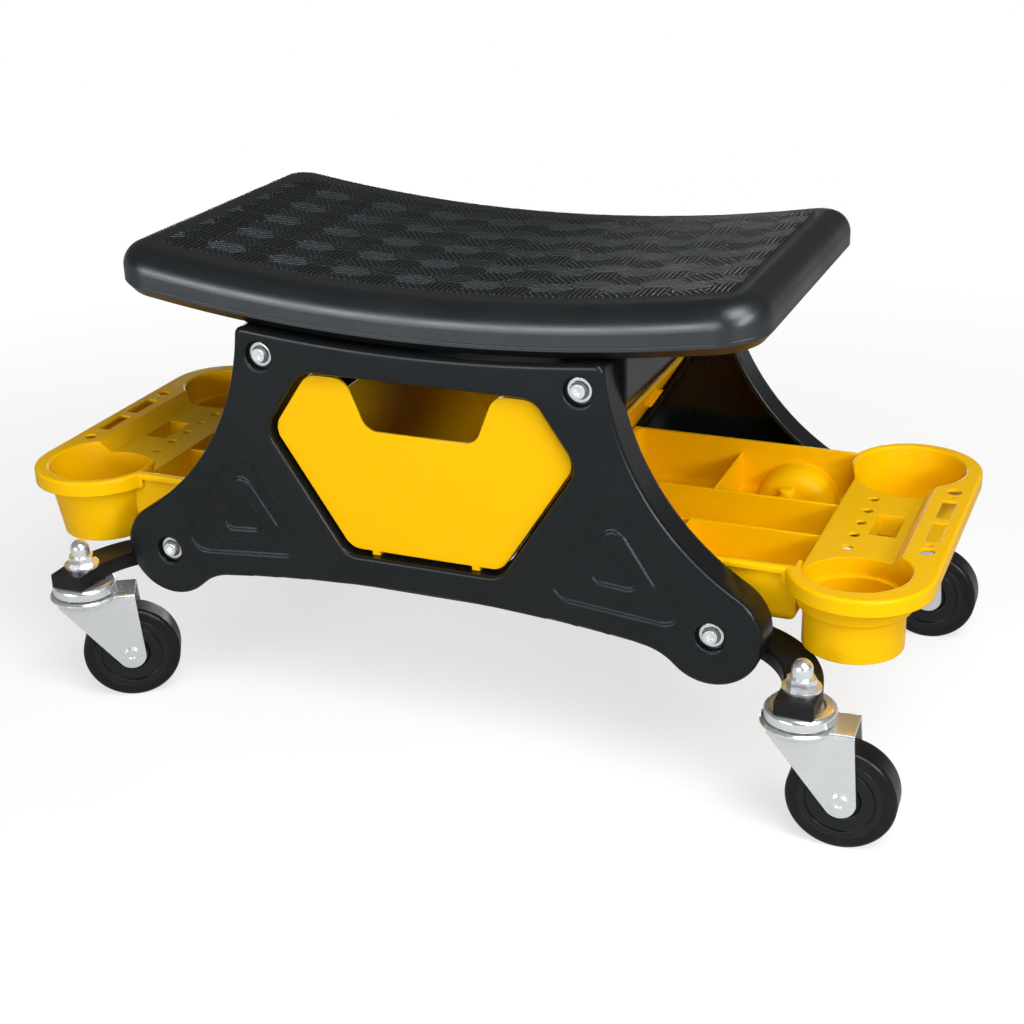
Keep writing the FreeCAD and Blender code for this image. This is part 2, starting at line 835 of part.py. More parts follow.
def socket_screw(name, x, y, z, depth_side, length):
    """A round-headed bolt with a six-sided socket, pointing inwards from its washer."""
    seat = (x, y, z)
    head = cone("bolt_head", dim.bolt_head_radius, dim.bolt_head_radius * HEAD_TOP_SHARE, dim.bolt_head, seat,
                "y", depth_side)
    shank = rod("bolt_shank", dim.bolt_radius, length, seat, "y", -depth_side)
    socket_start = (x, y + (dim.bolt_head + dim.overrun) * depth_side, z)
    socket = hex_bar("bolt_socket", dim.bolt_socket, dim.bolt_socket_depth + dim.overrun, socket_start, "y",
                     -depth_side)
    return cut(name, fuse(name + "_solid", [head, shank]), [socket])


bolt_floor_y = dim.panel_face_y - dim.bolt_seat_depth
upper_bolt_length = bolt_floor_y + dim.washer_thick - panel_back_y + dim.insert_length
lower_bolt_length = bolt_floor_y + dim.washer_thick - lug_inner_y + dim.nut_height + dim.washer_thick


def make_panel_bolts(level, x, z, length):
    bolts = []
    washers = []
    for bolt_x, seat_y, bolt_z, depth_side in corners_of(x, bolt_floor_y + dim.washer_thick, z):
        bolts.append(socket_screw(level + "_bolt", bolt_x, seat_y, bolt_z, depth_side, length))
        start = (bolt_x, seat_y, bolt_z)
        disc = rod("washer_disc", dim.washer_radius, dim.washer_thick, start, "y", -depth_side)
        hole_radius = dim.bolt_radius + dim.bolt_clearance
        hole = rod("washer_hole", hole_radius, dim.washer_thick, start, "y", -depth_side)
        washers.append(cut(level + "_washer", disc, [hole]))
    group(level + "_panel_bolts", bolts)
    group(level + "_panel_washers", washers)


make_panel_bolts("upper", dim.upper_bolt_x, dim.upper_bolt_z, upper_bolt_length)
make_panel_bolts("lower", dim.foot_x, dim.foot_z, lower_bolt_length)


def make_inserts_and_nuts():
    inserts = []
    for x, y, z, depth_side in corners_of(dim.upper_bolt_x, panel_back_y, dim.upper_bolt_z):
        sleeve = rod("insert_sleeve", dim.insert_radius, dim.insert_length, (x, y, z), "y", -depth_side)
        bore = rod("insert_bore", dim.bolt_radius, dim.insert_length, (x, y, z), "y", -depth_side)
        inserts.append(cut("insert", sleeve, [bore]))
    group("threaded_inserts", inserts)
    nuts = []
    for x, y, z, depth_side in corners_of(dim.foot_x, lug_inner_y, dim.foot_z):
        hexagon = hex_bar("nut_hex", dim.nut_flats, dim.nut_height, (x, y, z), "y", -depth_side)
        bore = rod("nut_bore", dim.bolt_radius, dim.nut_height, (x, y, z), "y", -depth_side)
        nuts.append(cut("nut", hexagon, [bore]))
    group("lower_panel_nuts", nuts)


make_inserts_and_nuts()


def make_frame_bar(label, turn):
    """A flat bar along the seat with both ends bent outwards, and an upright lug behind each foot."""
    run = dim.caster_x - dim.bar_bend_radius
    bend_y = -(dim.bar_y + dim.bar_bend_radius)
    half = float(dim.bar_width) / 2
    radius = float(dim.bar_bend_radius)
    centre = (float(run), float(bend_y))
    slope = math.cos(math.pi / 4)

    def edge_points(reach):
        start = (centre[0], centre[1] + reach)
        middle = (centre[0] + reach * slope, centre[1] + reach * slope)
        end = (centre[0] + reach, centre[1])
        return start, middle, end, (centre[0] + reach, -float(dim.bar_end_y))

    inner = edge_points(radius + half)
    outer = edge_points(radius - half)
    outline = [("line", mirrored(inner[0]), inner[0]), ("line", outer[0], mirrored(outer[0]))]
    for flip in (lambda point: point, mirrored):
        for start, middle, end, tip in (inner, outer):
            outline.append(("arc", flip(start), flip(middle), flip(end)))
            outline.append(("line", flip(end), flip(tip)))
        outline.append(("line", flip(inner[3]), flip(outer[3])))
    body = new_body(label)
    pad(body, sketch(body, "XY_Plane", [outline], offset=dim.bar_top_z), dim.bar_thick, backwards=True)
    soften(body, "Fillet", dim.bar_edge,
           lambda edge: flat_at(edge, "Z", dim.bar_top_z) or flat_at(edge, "Z", dim.bar_top_z - dim.bar_thick))
    for side in (-1, 1):
        foot = (float(dim.foot_x) * side, float(dim.foot_z))
        reach = float(dim.lug_radius)
        low = float(dim.bar_top_z) - float(dim.bar_thick) / 2
        lug = [
            ("arc", (foot[0] - reach, foot[1]), (foot[0], foot[1] + reach), (foot[0] + reach, foot[1])),
            ("line", (foot[0] + reach, foot[1]), (foot[0] + reach, low)),
            ("line", (foot[0] + reach, low), (foot[0] - reach, low)),
            ("line", (foot[0] - reach, low), (foot[0] - reach, foot[1])),
        ]
        pad(body, sketch(body, "XZ_Plane", [lug], offset=lug_outer_y), dim.lug_thick, backwards=True)
    holes = [(x, dim.foot_z, dim.bolt_radius + dim.bolt_clearance) for x in both_sides(dim.foot_x)]
    pocket(body, sketch(body, "XZ_Plane", [], holes, lug_outer_y + dim.overrun),
           dim.lug_thick + dim.overrun * 2)
    drilled = [(x, -dim.caster_y, dim.stem_radius + dim.stem_clearance) for x in both_sides(dim.caster_x)]
    drilled += [(x, -dim.tray_screw_y, dim.tray_screw_radius) for x in both_sides(dim.tray_screw_x)]
    pocket(body, sketch(body, "XY_Plane", [], drilled, dim.bar_top_z + dim.overrun),
           dim.bar_thick + dim.overrun * 2)
    place(body, turn=turn)
    return keep(body, label)


make_frame_bar("front_frame_bar", 0.0)
make_frame_bar("rear_frame_bar", HALF_TURN)


# The drawer slides out through the front panel's window
drawer_front_y = dim.panel_face_y - dim.drawer_inset


def drawer_trough(inset, top_z):
    """The trough's outline: the lower part of the window, drawn in, and open at the top."""
    corners = inset_polygon(window_corners(), float(dim.drawer_gap) + float(inset))
    side, low = corners[2], corners[3]
    share = (float(top_z) - low[1]) / (side[1] - low[1])
    top = (low[0] + (side[0] - low[0]) * share, float(top_z))
    polygon = [mirrored(top), top, low, mirrored(low)]
    small = float(dim.drawer_wall)
    large = float(dim.window_round) - float(dim.drawer_gap) - float(inset)
    return rounded(polygon, [small / 2, small / 2, large, large])


def drawer_front():
    """The front plate's outline: the window drawn in by its gap, with a hand notch in its top edge."""
    corners = inset_polygon(window_corners(), float(dim.drawer_gap))
    top_z = corners[0][1]
    notch_top = (float(dim.notch_top_half), top_z)
    notch_low = (float(dim.notch_low_half), top_z - float(dim.notch_depth))
    points = [corners[0], mirrored(notch_top), mirrored(notch_low), notch_low, notch_top] + corners[1:]
    outer = float(dim.window_round) - float(dim.drawer_gap)
    hand = float(dim.notch_round)
    return rounded(points, [outer] + [hand] * 4 + [outer] * 5)


def make_drawer():
    body = new_body("drawer")
    side_z = dim.window_side_z - dim.drawer_side_drop
    pad(body, sketch(body, "XZ_Plane", [drawer_trough(0, side_z)], offset=drawer_front_y), dim.drawer_length,
        backwards=True)
    pad(body, sketch(body, "XZ_Plane", [drawer_front()], offset=drawer_front_y), dim.drawer_wall,
        backwards=True)
    hollow = sketch(body, "XZ_Plane", [drawer_trough(dim.drawer_wall, side_z + dim.overrun)],
                    offset=drawer_front_y - dim.drawer_wall)
    pocket(body, hollow, dim.drawer_length - dim.drawer_wall * 2)
    runner_low = float(dim.window_low_z) + float(dim.runner_clearance)
    runner_top = float(dim.window_low_z) + float(dim.drawer_gap) + float(dim.drawer_wall) / 2
    half = float(dim.runner_width) / 2
    runners = []
    for middle in (-float(dim.runner_x), float(dim.runner_x)):
        runners.append(straight([(middle - half, runner_low), (middle - half, runner_top),
                                 (middle + half, runner_top), (middle + half, runner_low)]))
    pad(body, sketch(body, "XZ_Plane", runners, offset=drawer_front_y), dim.drawer_length, backwards=True)
    corners = inset_polygon(window_corners(), float(dim.drawer_gap))
    side, low = corners[2], corners[3]
    stops = []
    stop_high = float(side_z) - float(dim.stop_height)
    stop_low = stop_high - float(dim.stop_height)
    for flip in (1, -1):
        points = []
        for z, reach in ((stop_high, 0), (stop_high, 1), (stop_low, 1), (stop_low, 0)):
            share = (z - low[1]) / (side[1] - low[1])
            edge = low[0] + (side[0] - low[0]) * share - float(dim.drawer_wall) / 2
            points.append((flip * (edge + reach * float(dim.stop_reach)), z))
        stops.append(straight(points))
    stop_y = drawer_front_y - dim.drawer_length + dim.stop_back
    pad(body, sketch(body, "XZ_Plane", stops, offset=stop_y), dim.stop_length)
    return keep(body, "drawer")


make_drawer()


# Levels and reaches that the tray's pieces share
tray_outer_x = dim.cup_rim_x + dim.cup_rim_radius
tray_base_z = dim.tray_floor_z - dim.tray_wall
rail_middle_x = (dim.rail_top_x + tray_outer_x) / 2


def tub_outline(inset, end_x):
    """The tray's tub in plan: square where it meets the cups and rounded at its inner end."""
    near_x = float(dim.tray_inner_x) + float(inset)
    side = float(dim.tray_half_width) - float(inset)
    points = [(near_x, -side), (near_x, side), (float(end_x), side), (float(end_x), -side)]
    corner = float(dim.tray_round) - float(inset)
    small = float(dim.tray_wall) / 2
    return rounded(points, [corner, corner, small, small])


def rim_outline(inset, near_x, side):
    """The tray's rim in plan: a straight tub that swells round the two cups, with a straight outer end."""
    inset = float(inset)
    radius = float(dim.cup_rim_radius) - inset
    centre = (float(dim.cup_rim_x), float(dim.cup_y))
    out_x = centre[0] + radius
    neck = (centre[0] - math.sqrt(radius ** 2 - (side - centre[1]) ** 2), side)
    crown = (centre[0], centre[1] + radius)
    outer = (out_x, centre[1])
    return [
        ("line", (near_x, -side), (near_x, side)),
        ("line", (near_x, side), neck),
        ("arc", neck, crown, outer),
        ("line", outer, flipped(outer)),
        ("arc", flipped(outer), flipped(crown), flipped(neck)),
        ("line", flipped(neck), (near_x, -side)),
    ]


def make_rim():
    """The rim with its skirt, hollow below, before the tub and the cups join it."""
    body = new_body("tray_rim")
    lip_x = float(dim.tray_inner_x) - float(dim.tray_lip)
    lip_y = float(dim.tray_half_width) + float(dim.tray_lip)
    outline = rim_outline(0, lip_x, lip_y)
    pad(body, sketch(body, "XY_Plane", [outline], offset=dim.tray_rim_z), dim.skirt_height, backwards=True)
    soften(body, "Fillet", dim.cup_edge_round, lambda edge: flat_at(edge, "Z", dim.tray_rim_z))
    low_z = dim.tray_rim_z - dim.skirt_height - dim.overrun
    neck_x = float(dim.cup_rim_x) - float(dim.cup_rim_radius)
    past_x = lip_x - float(dim.overrun)
    past_y = lip_y + float(dim.overrun)
    around = straight([(past_x, -past_y), (past_x, past_y), (neck_x, past_y), (neck_x, -past_y)])
    pocket(body, sketch(body, "XY_Plane", [around], offset=low_z),
           dim.skirt_height + dim.overrun - dim.tray_lip_height, backwards=True)
    hollow = rim_outline(dim.tray_wall, float(dim.shelf_x), float(dim.cup_y))
    pocket(body, sketch(body, "XY_Plane", [hollow], offset=low_z),
           dim.skirt_height + dim.overrun - dim.tray_wall, backwards=True)
    return body


def make_tub(inset, base_z, end_x, height):
    body = new_body("tray_tub")
    pad(body, sketch(body, "XY_Plane", [tub_outline(inset, end_x)], offset=base_z), height)
    soften(body, "Fillet", dim.tray_round - inset, lambda edge: flat_at(edge, "Z", base_z) and
           edge.BoundBox.XMax < float(end_x) - float(dim.tray_wall))
    return body


def dome(radius, start_y, end_y, depth_side):
    """A round-ended tunnel over a foot's bolt, from the tray's side wall inwards."""
    start = (dim.foot_x, as_size(start_y) * depth_side, dim.foot_z)
    tunnel = rod("tunnel", radius, as_size(start_y) - end_y, start, "y", -depth_side)
    doc.recompute()
    ended = doc.addObject("Part::Fillet", "tunnel_end")
    ended.Base = tunnel
    end_level = float(end_y) * depth_side
    reach = float(dim.dome_round)
    ended.Edges = [(index + 1, reach, reach) for index, edge in enumerate(tunnel.Shape.Edges)
                   if flat_at(edge, "Y", end_level)]
    doc.recompute()
    return ended


def common(name, first, second):
    overlap = doc.addObject("Part::Common", name)
    overlap.Base = first
    overlap.Tool = second
    doc.recompute()
    return overlap


def between_cups(name, outline):
    """A length of the shelf's cross-section, from one cup's middle to the other's."""
    body = new_body(name)
    pad(body, sketch(body, "XZ_Plane", [straight(numbers(*outline))]), dim.cup_y * 2, both_ways=True)
    return body


def round_topped(name, low, high):
    """An upright rib whose long top edges are rounded."""
    rib = block(name, low, high)
    doc.recompute()
    softened = doc.addObject("Part::Fillet", name + "_round")
    softened.Base = rib
    thick = min(float(rib.Length), float(rib.Width))
    reach = thick * RIB_ROUND_SHARE
    softened.Edges = [(index + 1, reach, reach) for index, edge in enumerate(rib.Shape.Edges)
                      if flat_at(edge, "Z", high[2]) and edge.Length > thick * 2]
    doc.recompute()
    return softened


def cup_mouth(radius, centre_y):
    """The rounding of a cup's mouth, as a tool that is cut away."""
    body = new_body("cup_mouth")
    bend = float(dim.cup_mouth_round)
    rim = float(dim.tray_rim_z)
    inner = float(radius)
    high = rim + float(dim.overrun)
    centre = (inner + bend, rim - bend)
    middle = on_circle(centre, bend, (inner, rim))
    revolve(body, [
        ("line", (0, rim - bend), (inner, rim - bend)),
        ("arc", (inner, rim - bend), middle, (inner + bend, rim)),
        ("line", (inner + bend, rim), (inner + bend, high)),
        ("line", (inner + bend, high), (0, high)),
        ("line", (0, high), (0, rim - bend)),
    ])
    place(body, dim.cup_x, centre_y)
    return body


def make_tray(label, turn):
    """A tool tray with lanes, a rack shelf, a rail and two cups, modelled at the right-hand end."""
    wall = dim.tray_wall
    end_x = dim.shelf_x + wall
    tub_height = dim.tray_rim_z - tray_base_z
    tub_skin = make_tub(as_size(0), tray_base_z, end_x, tub_height)
    tub_hollow = make_tub(wall, dim.tray_floor_z, dim.shelf_x, tub_height)
    tub = cut("tub", tub_skin, [tub_hollow])
    side_y = dim.cup_y
    past_z = dim.tray_rim_z + dim.overrun
    inner_x = dim.shelf_x - wall
    recess = between_cups("shelf_recess", [
        (inner_x, dim.shelf_z), (inner_x, past_z), (dim.rail_top_x, past_z), (dim.rail_top_x, dim.tray_rim_z),
        (dim.rail_x, dim.shelf_z)])
    rim = cut("rim", make_rim(), [tub_hollow, recess])
    tub = cut("tub_end", tub, [recess])
    shelf = block("shelf", (dim.shelf_x, -side_y, dim.shelf_z - wall), (dim.rail_x + wall, side_y, dim.shelf_z))
    riser = between_cups("riser", [
        (dim.rail_x, dim.shelf_z - wall), (dim.rail_x, dim.shelf_z), (dim.rail_top_x, dim.tray_rim_z),
        (dim.rail_top_x + wall, dim.tray_rim_z), (dim.rail_x + wall * 2, dim.shelf_z - wall)])

    plain_cup = (dim.cup_x, dim.cup_y, dim.cup_low_z)
    step_cup = (dim.cup_x, -dim.cup_y, dim.cup_low_z)
    step_mid = (dim.cup_x, -dim.cup_y, dim.cup_step_z)
    cup_height = dim.tray_rim_z - dim.cup_low_z
    step_height = dim.tray_rim_z - dim.cup_step_z
    cup_walls = [
        cone("plain_cup", dim.cup_base_radius + wall, dim.plain_mouth_radius + wall, cup_height, plain_cup),
        rod("step_cup_low", dim.cup_base_radius + wall, cup_height, step_cup),
        rod("step_cup_top", dim.step_mouth_radius + wall, step_height, step_mid),
    ]
    trimmed = [cut("cup_wall", shape, [recess]) for shape in cup_walls]
    floor_up = (as_size(0), as_size(0), wall)
    cup_hollows = [
        cone("plain_hollow", dim.cup_base_radius, dim.plain_mouth_radius, cup_height - wall,
             [a + b for a, b in zip(plain_cup, floor_up)]),
        rod("step_hollow_low", dim.cup_base_radius, cup_height, [a + b for a, b in zip(step_cup, floor_up)]),
        rod("step_hollow_top", dim.step_mouth_radius, step_height, [a + b for a, b in zip(step_mid, floor_up)]),
        cup_mouth(dim.plain_mouth_radius, dim.cup_y),
        cup_mouth(dim.step_mouth_radius, -dim.cup_y),
    ]

    dividers = []
    for depth_side in (-1, 1):
        middle = dim.divider_y * depth_side
        low = (dim.tray_inner_x + wall / 2, middle - wall / 2, dim.tray_floor_z - wall / 2)
        high = (dim.shelf_x + wall / 2, middle + wall / 2, dim.divider_top_z)
        dividers.append(round_topped("lane_divider", low, high))
        reach = dim.tray_half_width - wall / 2
        ends = sorted((middle, reach * depth_side), key=float)
        low = (dim.cross_divider_x - wall / 2, ends[0], dim.tray_floor_z - wall / 2)
        high = (dim.cross_divider_x + wall / 2, ends[1], dim.divider_top_z)
        dividers.append(round_topped("cross_divider", low, high))
    domes = []
    tunnels = []
    bosses = []
    bores = []
    for depth_side in (-1, 1):
        skin = dome(dim.dome_radius + wall, dim.tray_half_width, dim.dome_end_y - wall, depth_side)
        domes.append(common("dome", skin, tub_skin))
        tunnels.append(dome(dim.dome_radius, dim.tray_half_width + dim.overrun, dim.dome_end_y, depth_side))
        foot = (dim.tray_screw_x, dim.tray_screw_y * depth_side, dim.bar_top_z)
        height = dim.tray_boss_top_z - dim.bar_top_z
        bosses.append(rod("tray_boss", dim.tray_boss_radius, height, foot))
        bores.append(rod("tray_bore", dim.tray_screw_radius, height + dim.overrun, foot))

    holes = []
    for index in range(RACK_HOLES):
        hole_y = dim.rack_hole_pitch * (index - (RACK_HOLES - 1) / 2)
        holes.append(rod("rack_hole", dim.rack_hole_radius, wall * 3,
                         (dim.rack_hole_x, hole_y, dim.shelf_z - wall * 2)))
    slot_low = (dim.rack_slot_x - dim.rack_slot_width / 2, -dim.rack_slot_length / 2, dim.shelf_z - wall * 2)
    slot_high = (dim.rack_slot_x + dim.rack_slot_width / 2, dim.rack_slot_length / 2, dim.shelf_z + wall)
    holes.append(block("rack_slot", slot_low, slot_high))
    rail_low = dim.tray_rim_z - wall * 2
    for depth_side in (-1, 1):
        for radius, y in ((dim.rail_hole_radius, dim.rail_hole_y), (dim.rail_small_radius, dim.rail_small_y)):
            holes.append(rod("rail_hole", radius, wall * 3, (rail_middle_x, y * depth_side, rail_low)))
        middle = dim.rail_slot_y * depth_side
        low = (rail_middle_x - dim.rail_slot_width / 2, middle - dim.rail_slot_length / 2, rail_low)
        high = (rail_middle_x + dim.rail_slot_width / 2, middle + dim.rail_slot_length / 2,
                dim.tray_rim_z + wall)
        holes.append(block("rail_slot", low, high))

    solid = fuse("tray_solid", [rim, tub, shelf, riser] + trimmed + dividers + domes + bosses)
    tray = cut(label, solid, cup_hollows + tunnels + holes + bores)
    place(tray, turn=turn)
    return keep(tray, label)


make_tray("right_tray", 0.0)
make_tray("left_tray", HALF_TURN)


def make_tray_screws():
    screws = []
    for x, y, z, depth_side in corners_of(dim.tray_screw_x, dim.tray_screw_y, dim.tray_boss_top_z):
        length = dim.tray_boss_top_z - dim.bar_top_z + dim.tray_screw_grip
        shank = rod("screw_shank", dim.tray_screw_radius, length, (x, y, z), "z", -1)
        head = cone("screw_head", dim.tray_boss_radius * SCREW_HEAD_SHARE, dim.tray_screw_radius,
                    dim.tray_screw_radius, (x, y, z))
        screws.append(fuse("tray_screw", [shank, head]))
    return group("tray_screws", screws)


make_tray_screws()


# Levels of the swivel, from the bar down to the fork's crown
bar_low_z = dim.bar_top_z - dim.bar_thick
race_under_z = bar_low_z - dim.race_plate
ball_z = race_under_z - dim.ball_gap - dim.ball_radius
crown_z = ball_z - dim.ball_radius - dim.ball_gap
tab_under_z = dim.fork_top_z - dim.fork_plate
fork_inner = dim.wheel_width / 2 + dim.fork_side_gap
fork_outer = fork_inner + dim.fork_plate


def caster_spot(side, depth_side, yaw, ahead=0.0):
    """A place on a caster's centre line, ahead of its stem along the way that it trails."""
    swing = math.radians(yaw)
    return (dim.caster_x * side + dim.wheel_trail * (ahead * math.cos(swing)),
            dim.caster_y * depth_side + dim.wheel_trail * (ahead * math.sin(swing)))


def make_races():
    """The four upper races, fixed to their stems under the frame bars."""
    races = []
    for side, depth_side, yaw in CASTERS.values():
        body = new_body("upper_race")
        plate = float(dim.race_plate)
        bend = float(dim.race_round)
        top, under, low = float(bar_low_z), float(race_under_z), float(dim.race_low_z)
        rim, bore = float(dim.race_radius), float(dim.stem_radius)
        corner = (rim - bend, top - bend)
        inner = bend - plate
        sunk = float(dim.race_recess)
        lip = float(dim.race_recess_radius)
        outline = [
            ("line", (bore, under), (bore, top - sunk)),
            ("line", (bore, top - sunk), (lip - sunk, top - sunk)),
            ("line", (lip - sunk, top - sunk), (lip, top)),
            ("line", (lip, top), (corner[0], top)),
            ("arc", (corner[0], top), on_circle(corner, bend, (rim, top)), (rim, corner[1])),
            ("line", (rim, corner[1]), (rim, low)),
            ("line", (rim, low), (rim - plate, low)),
            ("line", (rim - plate, low), (rim - plate, corner[1])),
            ("arc", (rim - plate, corner[1]), on_circle(corner, inner, (rim, top)), (corner[0], under)),
            ("line", (corner[0], under), (bore, under)),
        ]
        revolve(body, outline)
        x, y = caster_spot(side, depth_side, yaw)
        place(body, x, y)
        races.append(body)
    return group("upper_races", races)


def make_stems():
    stems = []
    nuts = []
    washers = []
    for side, depth_side, yaw in CASTERS.values():
        x, y = caster_spot(side, depth_side, yaw)
        washer_top = dim.bar_top_z + dim.stem_washer
        head_top = tab_under_z - dim.stem_gap
        stem_top = washer_top + dim.acorn_hex
        head = rod("stem_head", dim.stem_head_radius, dim.stem_head, (x, y, head_top), "z", -1)
        shank = rod("stem_shank", dim.stem_radius, stem_top - head_top, (x, y, head_top))
        stems.append(fuse("stem", [head, shank]))
        ring = rod("stem_washer", dim.stem_washer_radius, dim.stem_washer, (x, y, dim.bar_top_z))
        hole_radius = dim.stem_radius + dim.bolt_clearance
        hole = rod("stem_washer_hole", hole_radius, dim.stem_washer, (x, y, dim.bar_top_z))
        washers.append(cut("stem_ring", ring, [hole]))
        hexagon = hex_bar("acorn_hex", dim.acorn_flats, dim.acorn_hex, (x, y, washer_top))
        neck = rod("acorn_neck", dim.acorn_dome_radius, dim.acorn_neck, (x, y, stem_top))
        cap = ball("acorn_cap", dim.acorn_dome_radius, (x, y, stem_top + dim.acorn_neck))
        bore = rod("acorn_bore", dim.stem_radius, dim.acorn_hex, (x, y, washer_top))
        cap_low = block("acorn_trim", (x - dim.acorn_flats, y - dim.acorn_flats, dim.bar_top_z),
                        (x + dim.acorn_flats, y + dim.acorn_flats, washer_top))
        nuts.append(cut("acorn_nut", fuse("acorn_solid", [hexagon, neck, cap]), [bore, cap_low]))
    group("caster_stems", stems)
    group("stem_washers", washers)
    group("acorn_nuts", nuts)


def fork_side():
    """The fork's side view: a crown that hangs back from the stem and legs that narrow to a round toe."""
    toe = (float(dim.wheel_trail), float(dim.wheel_radius))
    reach = float(dim.fork_toe_radius)
    front = (-float(dim.fork_front), float(dim.fork_front_z))
    top = float(dim.fork_top_z)
    back = (float(dim.fork_back), top)

    def touch(corner, side):
        gap = math.hypot(corner[0] - toe[0], corner[1] - toe[1])
        return meet(corner, math.sqrt(gap ** 2 - reach ** 2), toe, reach, side)

    front_touch = touch(front, -1)
    back_touch = touch(back, 1)
    swing = math.radians(TOE_ANGLE)
    low = (toe[0] + reach * math.cos(swing), toe[1] + reach * math.sin(swing))
    return [
        ("line", back_touch, back),
        ("line", back, (front[0], top)),
        ("line", (front[0], top), front),
        ("line", front, front_touch),
        ("arc", front_touch, low, back_touch),
    ]


def make_fork(label, side, depth_side, yaw):
    """A pressed fork: two legs under a crown with the lower ball race."""
    body = new_body(label)
    pad(body, sketch(body, "XZ_Plane", [fork_side()]), fork_outer * 2, both_ways=True)

    def top_side(edge):
        return flat_at(edge, "Z", dim.fork_top_z) and edge.BoundBox.YLength < float(fork_inner)

    soften(body, "Fillet", dim.fork_plate, top_side)
    past = float(dim.overrun)
    front = -float(dim.fork_front) - past
    back = float(dim.wheel_trail) + float(dim.fork_toe_radius) + past
    low = float(dim.wheel_radius) - float(dim.fork_toe_radius) - past
    gap = straight(numbers((front, low), (front, tab_under_z), (back, tab_under_z), (back, low)))
    pocket(body, sketch(body, "XZ_Plane", [gap]), fork_inner * 2, both_ways=True)
    plate = float(dim.fork_plate)
    rim, toe = float(dim.dish_radius), float(dim.dish_low_radius)
    track = float(dim.ball_ring_radius) + float(dim.ball_radius)
    high, top, under = float(crown_z), float(dim.fork_top_z), float(tab_under_z)
    low = float(dim.dish_low_z)
    bore = float(dim.stem_radius)
    drop = high - top
    dish = straight([
        (bore, high), (track, high), (track + drop, top), (rim - plate / 2, top), (rim, top - plate / 2),
        (rim, under), (toe, low), (toe - plate, low), (rim - plate, under), (track, under),
        (track - drop, high - plate), (bore, high - plate),
    ])
    revolve(body, dish)
    bore_cut = [(as_size(0), as_size(0), dim.stem_radius + dim.stem_clearance)]
    pocket(body, sketch(body, "XY_Plane", [], bore_cut, crown_z + dim.overrun),
           crown_z - low + dim.overrun * 2)
    axle_hole = [(dim.wheel_trail, dim.wheel_radius, dim.axle_radius)]
    pocket(body, sketch(body, "XZ_Plane", [], axle_hole), fork_outer * 4, both_ways=True)
    x, y = caster_spot(side, depth_side, yaw)
    place(body, x, y, turn=yaw)
    return keep(body, label)


def make_axle(label, side, depth_side, yaw):
    start = (dim.wheel_trail, -(fork_outer + dim.axle_head), dim.wheel_radius)
    shank = rod("axle_shank", dim.axle_radius, (fork_outer + dim.axle_head) * 2, start, "y", 1)
    heads = [rod("axle_head", dim.axle_head_radius, dim.axle_head,
                 (dim.wheel_trail, fork_outer * way, dim.wheel_radius), "y", way) for way in (-1, 1)]
    face = fork_outer + dim.axle_head
    recesses = [rod("axle_recess", dim.axle_recess_radius, dim.axle_recess,
                    (dim.wheel_trail, face * way, dim.wheel_radius), "y", -way) for way in (-1, 1)]
    axle = cut(label, fuse("axle_solid", [shank] + heads), recesses)
    x, y = caster_spot(side, depth_side, yaw)
    place(axle, x, y, turn=yaw)
    return keep(axle, label)


def make_balls(label, side, depth_side, yaw):
    x, y = caster_spot(side, depth_side, yaw)
    balls = []
    for index in range(BALLS_PER_RACE):
        angle = 2 * math.pi * index / BALLS_PER_RACE
        reach = dim.ball_ring_radius
        centre = (x + reach * math.cos(angle), y + reach * math.sin(angle), ball_z)
        balls.append(ball("race_ball", dim.ball_radius, centre))
    return group(label, balls)


def lay_wheel(body, side, depth_side, yaw):
    """Stand a wheel that was turned about the upright axis on its axle."""
    x, y = caster_spot(side, depth_side, yaw, 1.0)
    place(body, x, y, dim.wheel_radius)
    tilt = Rotation(AXES["x"], TURN / 4)
    body.Placement = Placement(body.Placement.Base, Rotation(UP, yaw).multiply(tilt))


def make_wheel(corner, side, depth_side, yaw):
    """A hard wheel centre with a hub and a shallow ring groove, inside a solid tyre."""
    half = float(dim.wheel_width) / 2
    bore = float(dim.axle_radius) + float(dim.axle_clearance)
    hub, hub_half = float(dim.hub_radius), half + float(dim.fork_side_gap) - float(dim.hub_side_gap)
    web = half - float(dim.web_recess)
    rim = float(dim.wheel_radius) - float(dim.tyre_depth)
    groove = float(dim.groove_width)
    face = float(dim.web_inner_radius)
    groove_in = float(dim.groove_radius) - groove / 2
    groove_out = float(dim.groove_radius) + groove / 2
    upper = [(bore, hub_half), (hub, hub_half), (hub, web), (face, web), (face + (half - web), half),
             (groove_in, half), (groove_in, half - groove), (groove_out, half - groove), (groove_out, half),
             (rim, half)]
    core = new_body("wheel_core_" + corner)
    revolve(core, straight(upper + [(r, -h) for r, h in reversed(upper)]))
    lay_wheel(core, side, depth_side, yaw)
    keep(core, "wheel_core_" + corner)

    tread, bend = float(dim.wheel_radius), float(dim.tyre_round)
    shoulder = (tread - bend, half - bend)
    top = on_circle(shoulder, bend, (tread, half))
    tyre = new_body("wheel_tyre_" + corner)
    revolve(tyre, [
        ("line", (rim, -half), (rim, half)),
        ("line", (rim, half), (shoulder[0], half)),
        ("arc", (shoulder[0], half), top, (tread, shoulder[1])),
        ("line", (tread, shoulder[1]), (tread, -shoulder[1])),
        ("arc", (tread, -shoulder[1]), (top[0], -top[1]), (shoulder[0], -half)),
        ("line", (shoulder[0], -half), (rim, -half)),
    ])
    lay_wheel(tyre, side, depth_side, yaw)
    keep(tyre, "wheel_tyre_" + corner)


make_races()
make_stems()
for corner, (side, depth_side, yaw) in CASTERS.items():
    make_fork("fork_" + corner, side, depth_side, yaw)
    make_axle("axle_" + corner, side, depth_side, yaw)
    make_balls("race_balls_" + corner, side, depth_side, yaw)
    make_wheel(corner, side, depth_side, yaw)


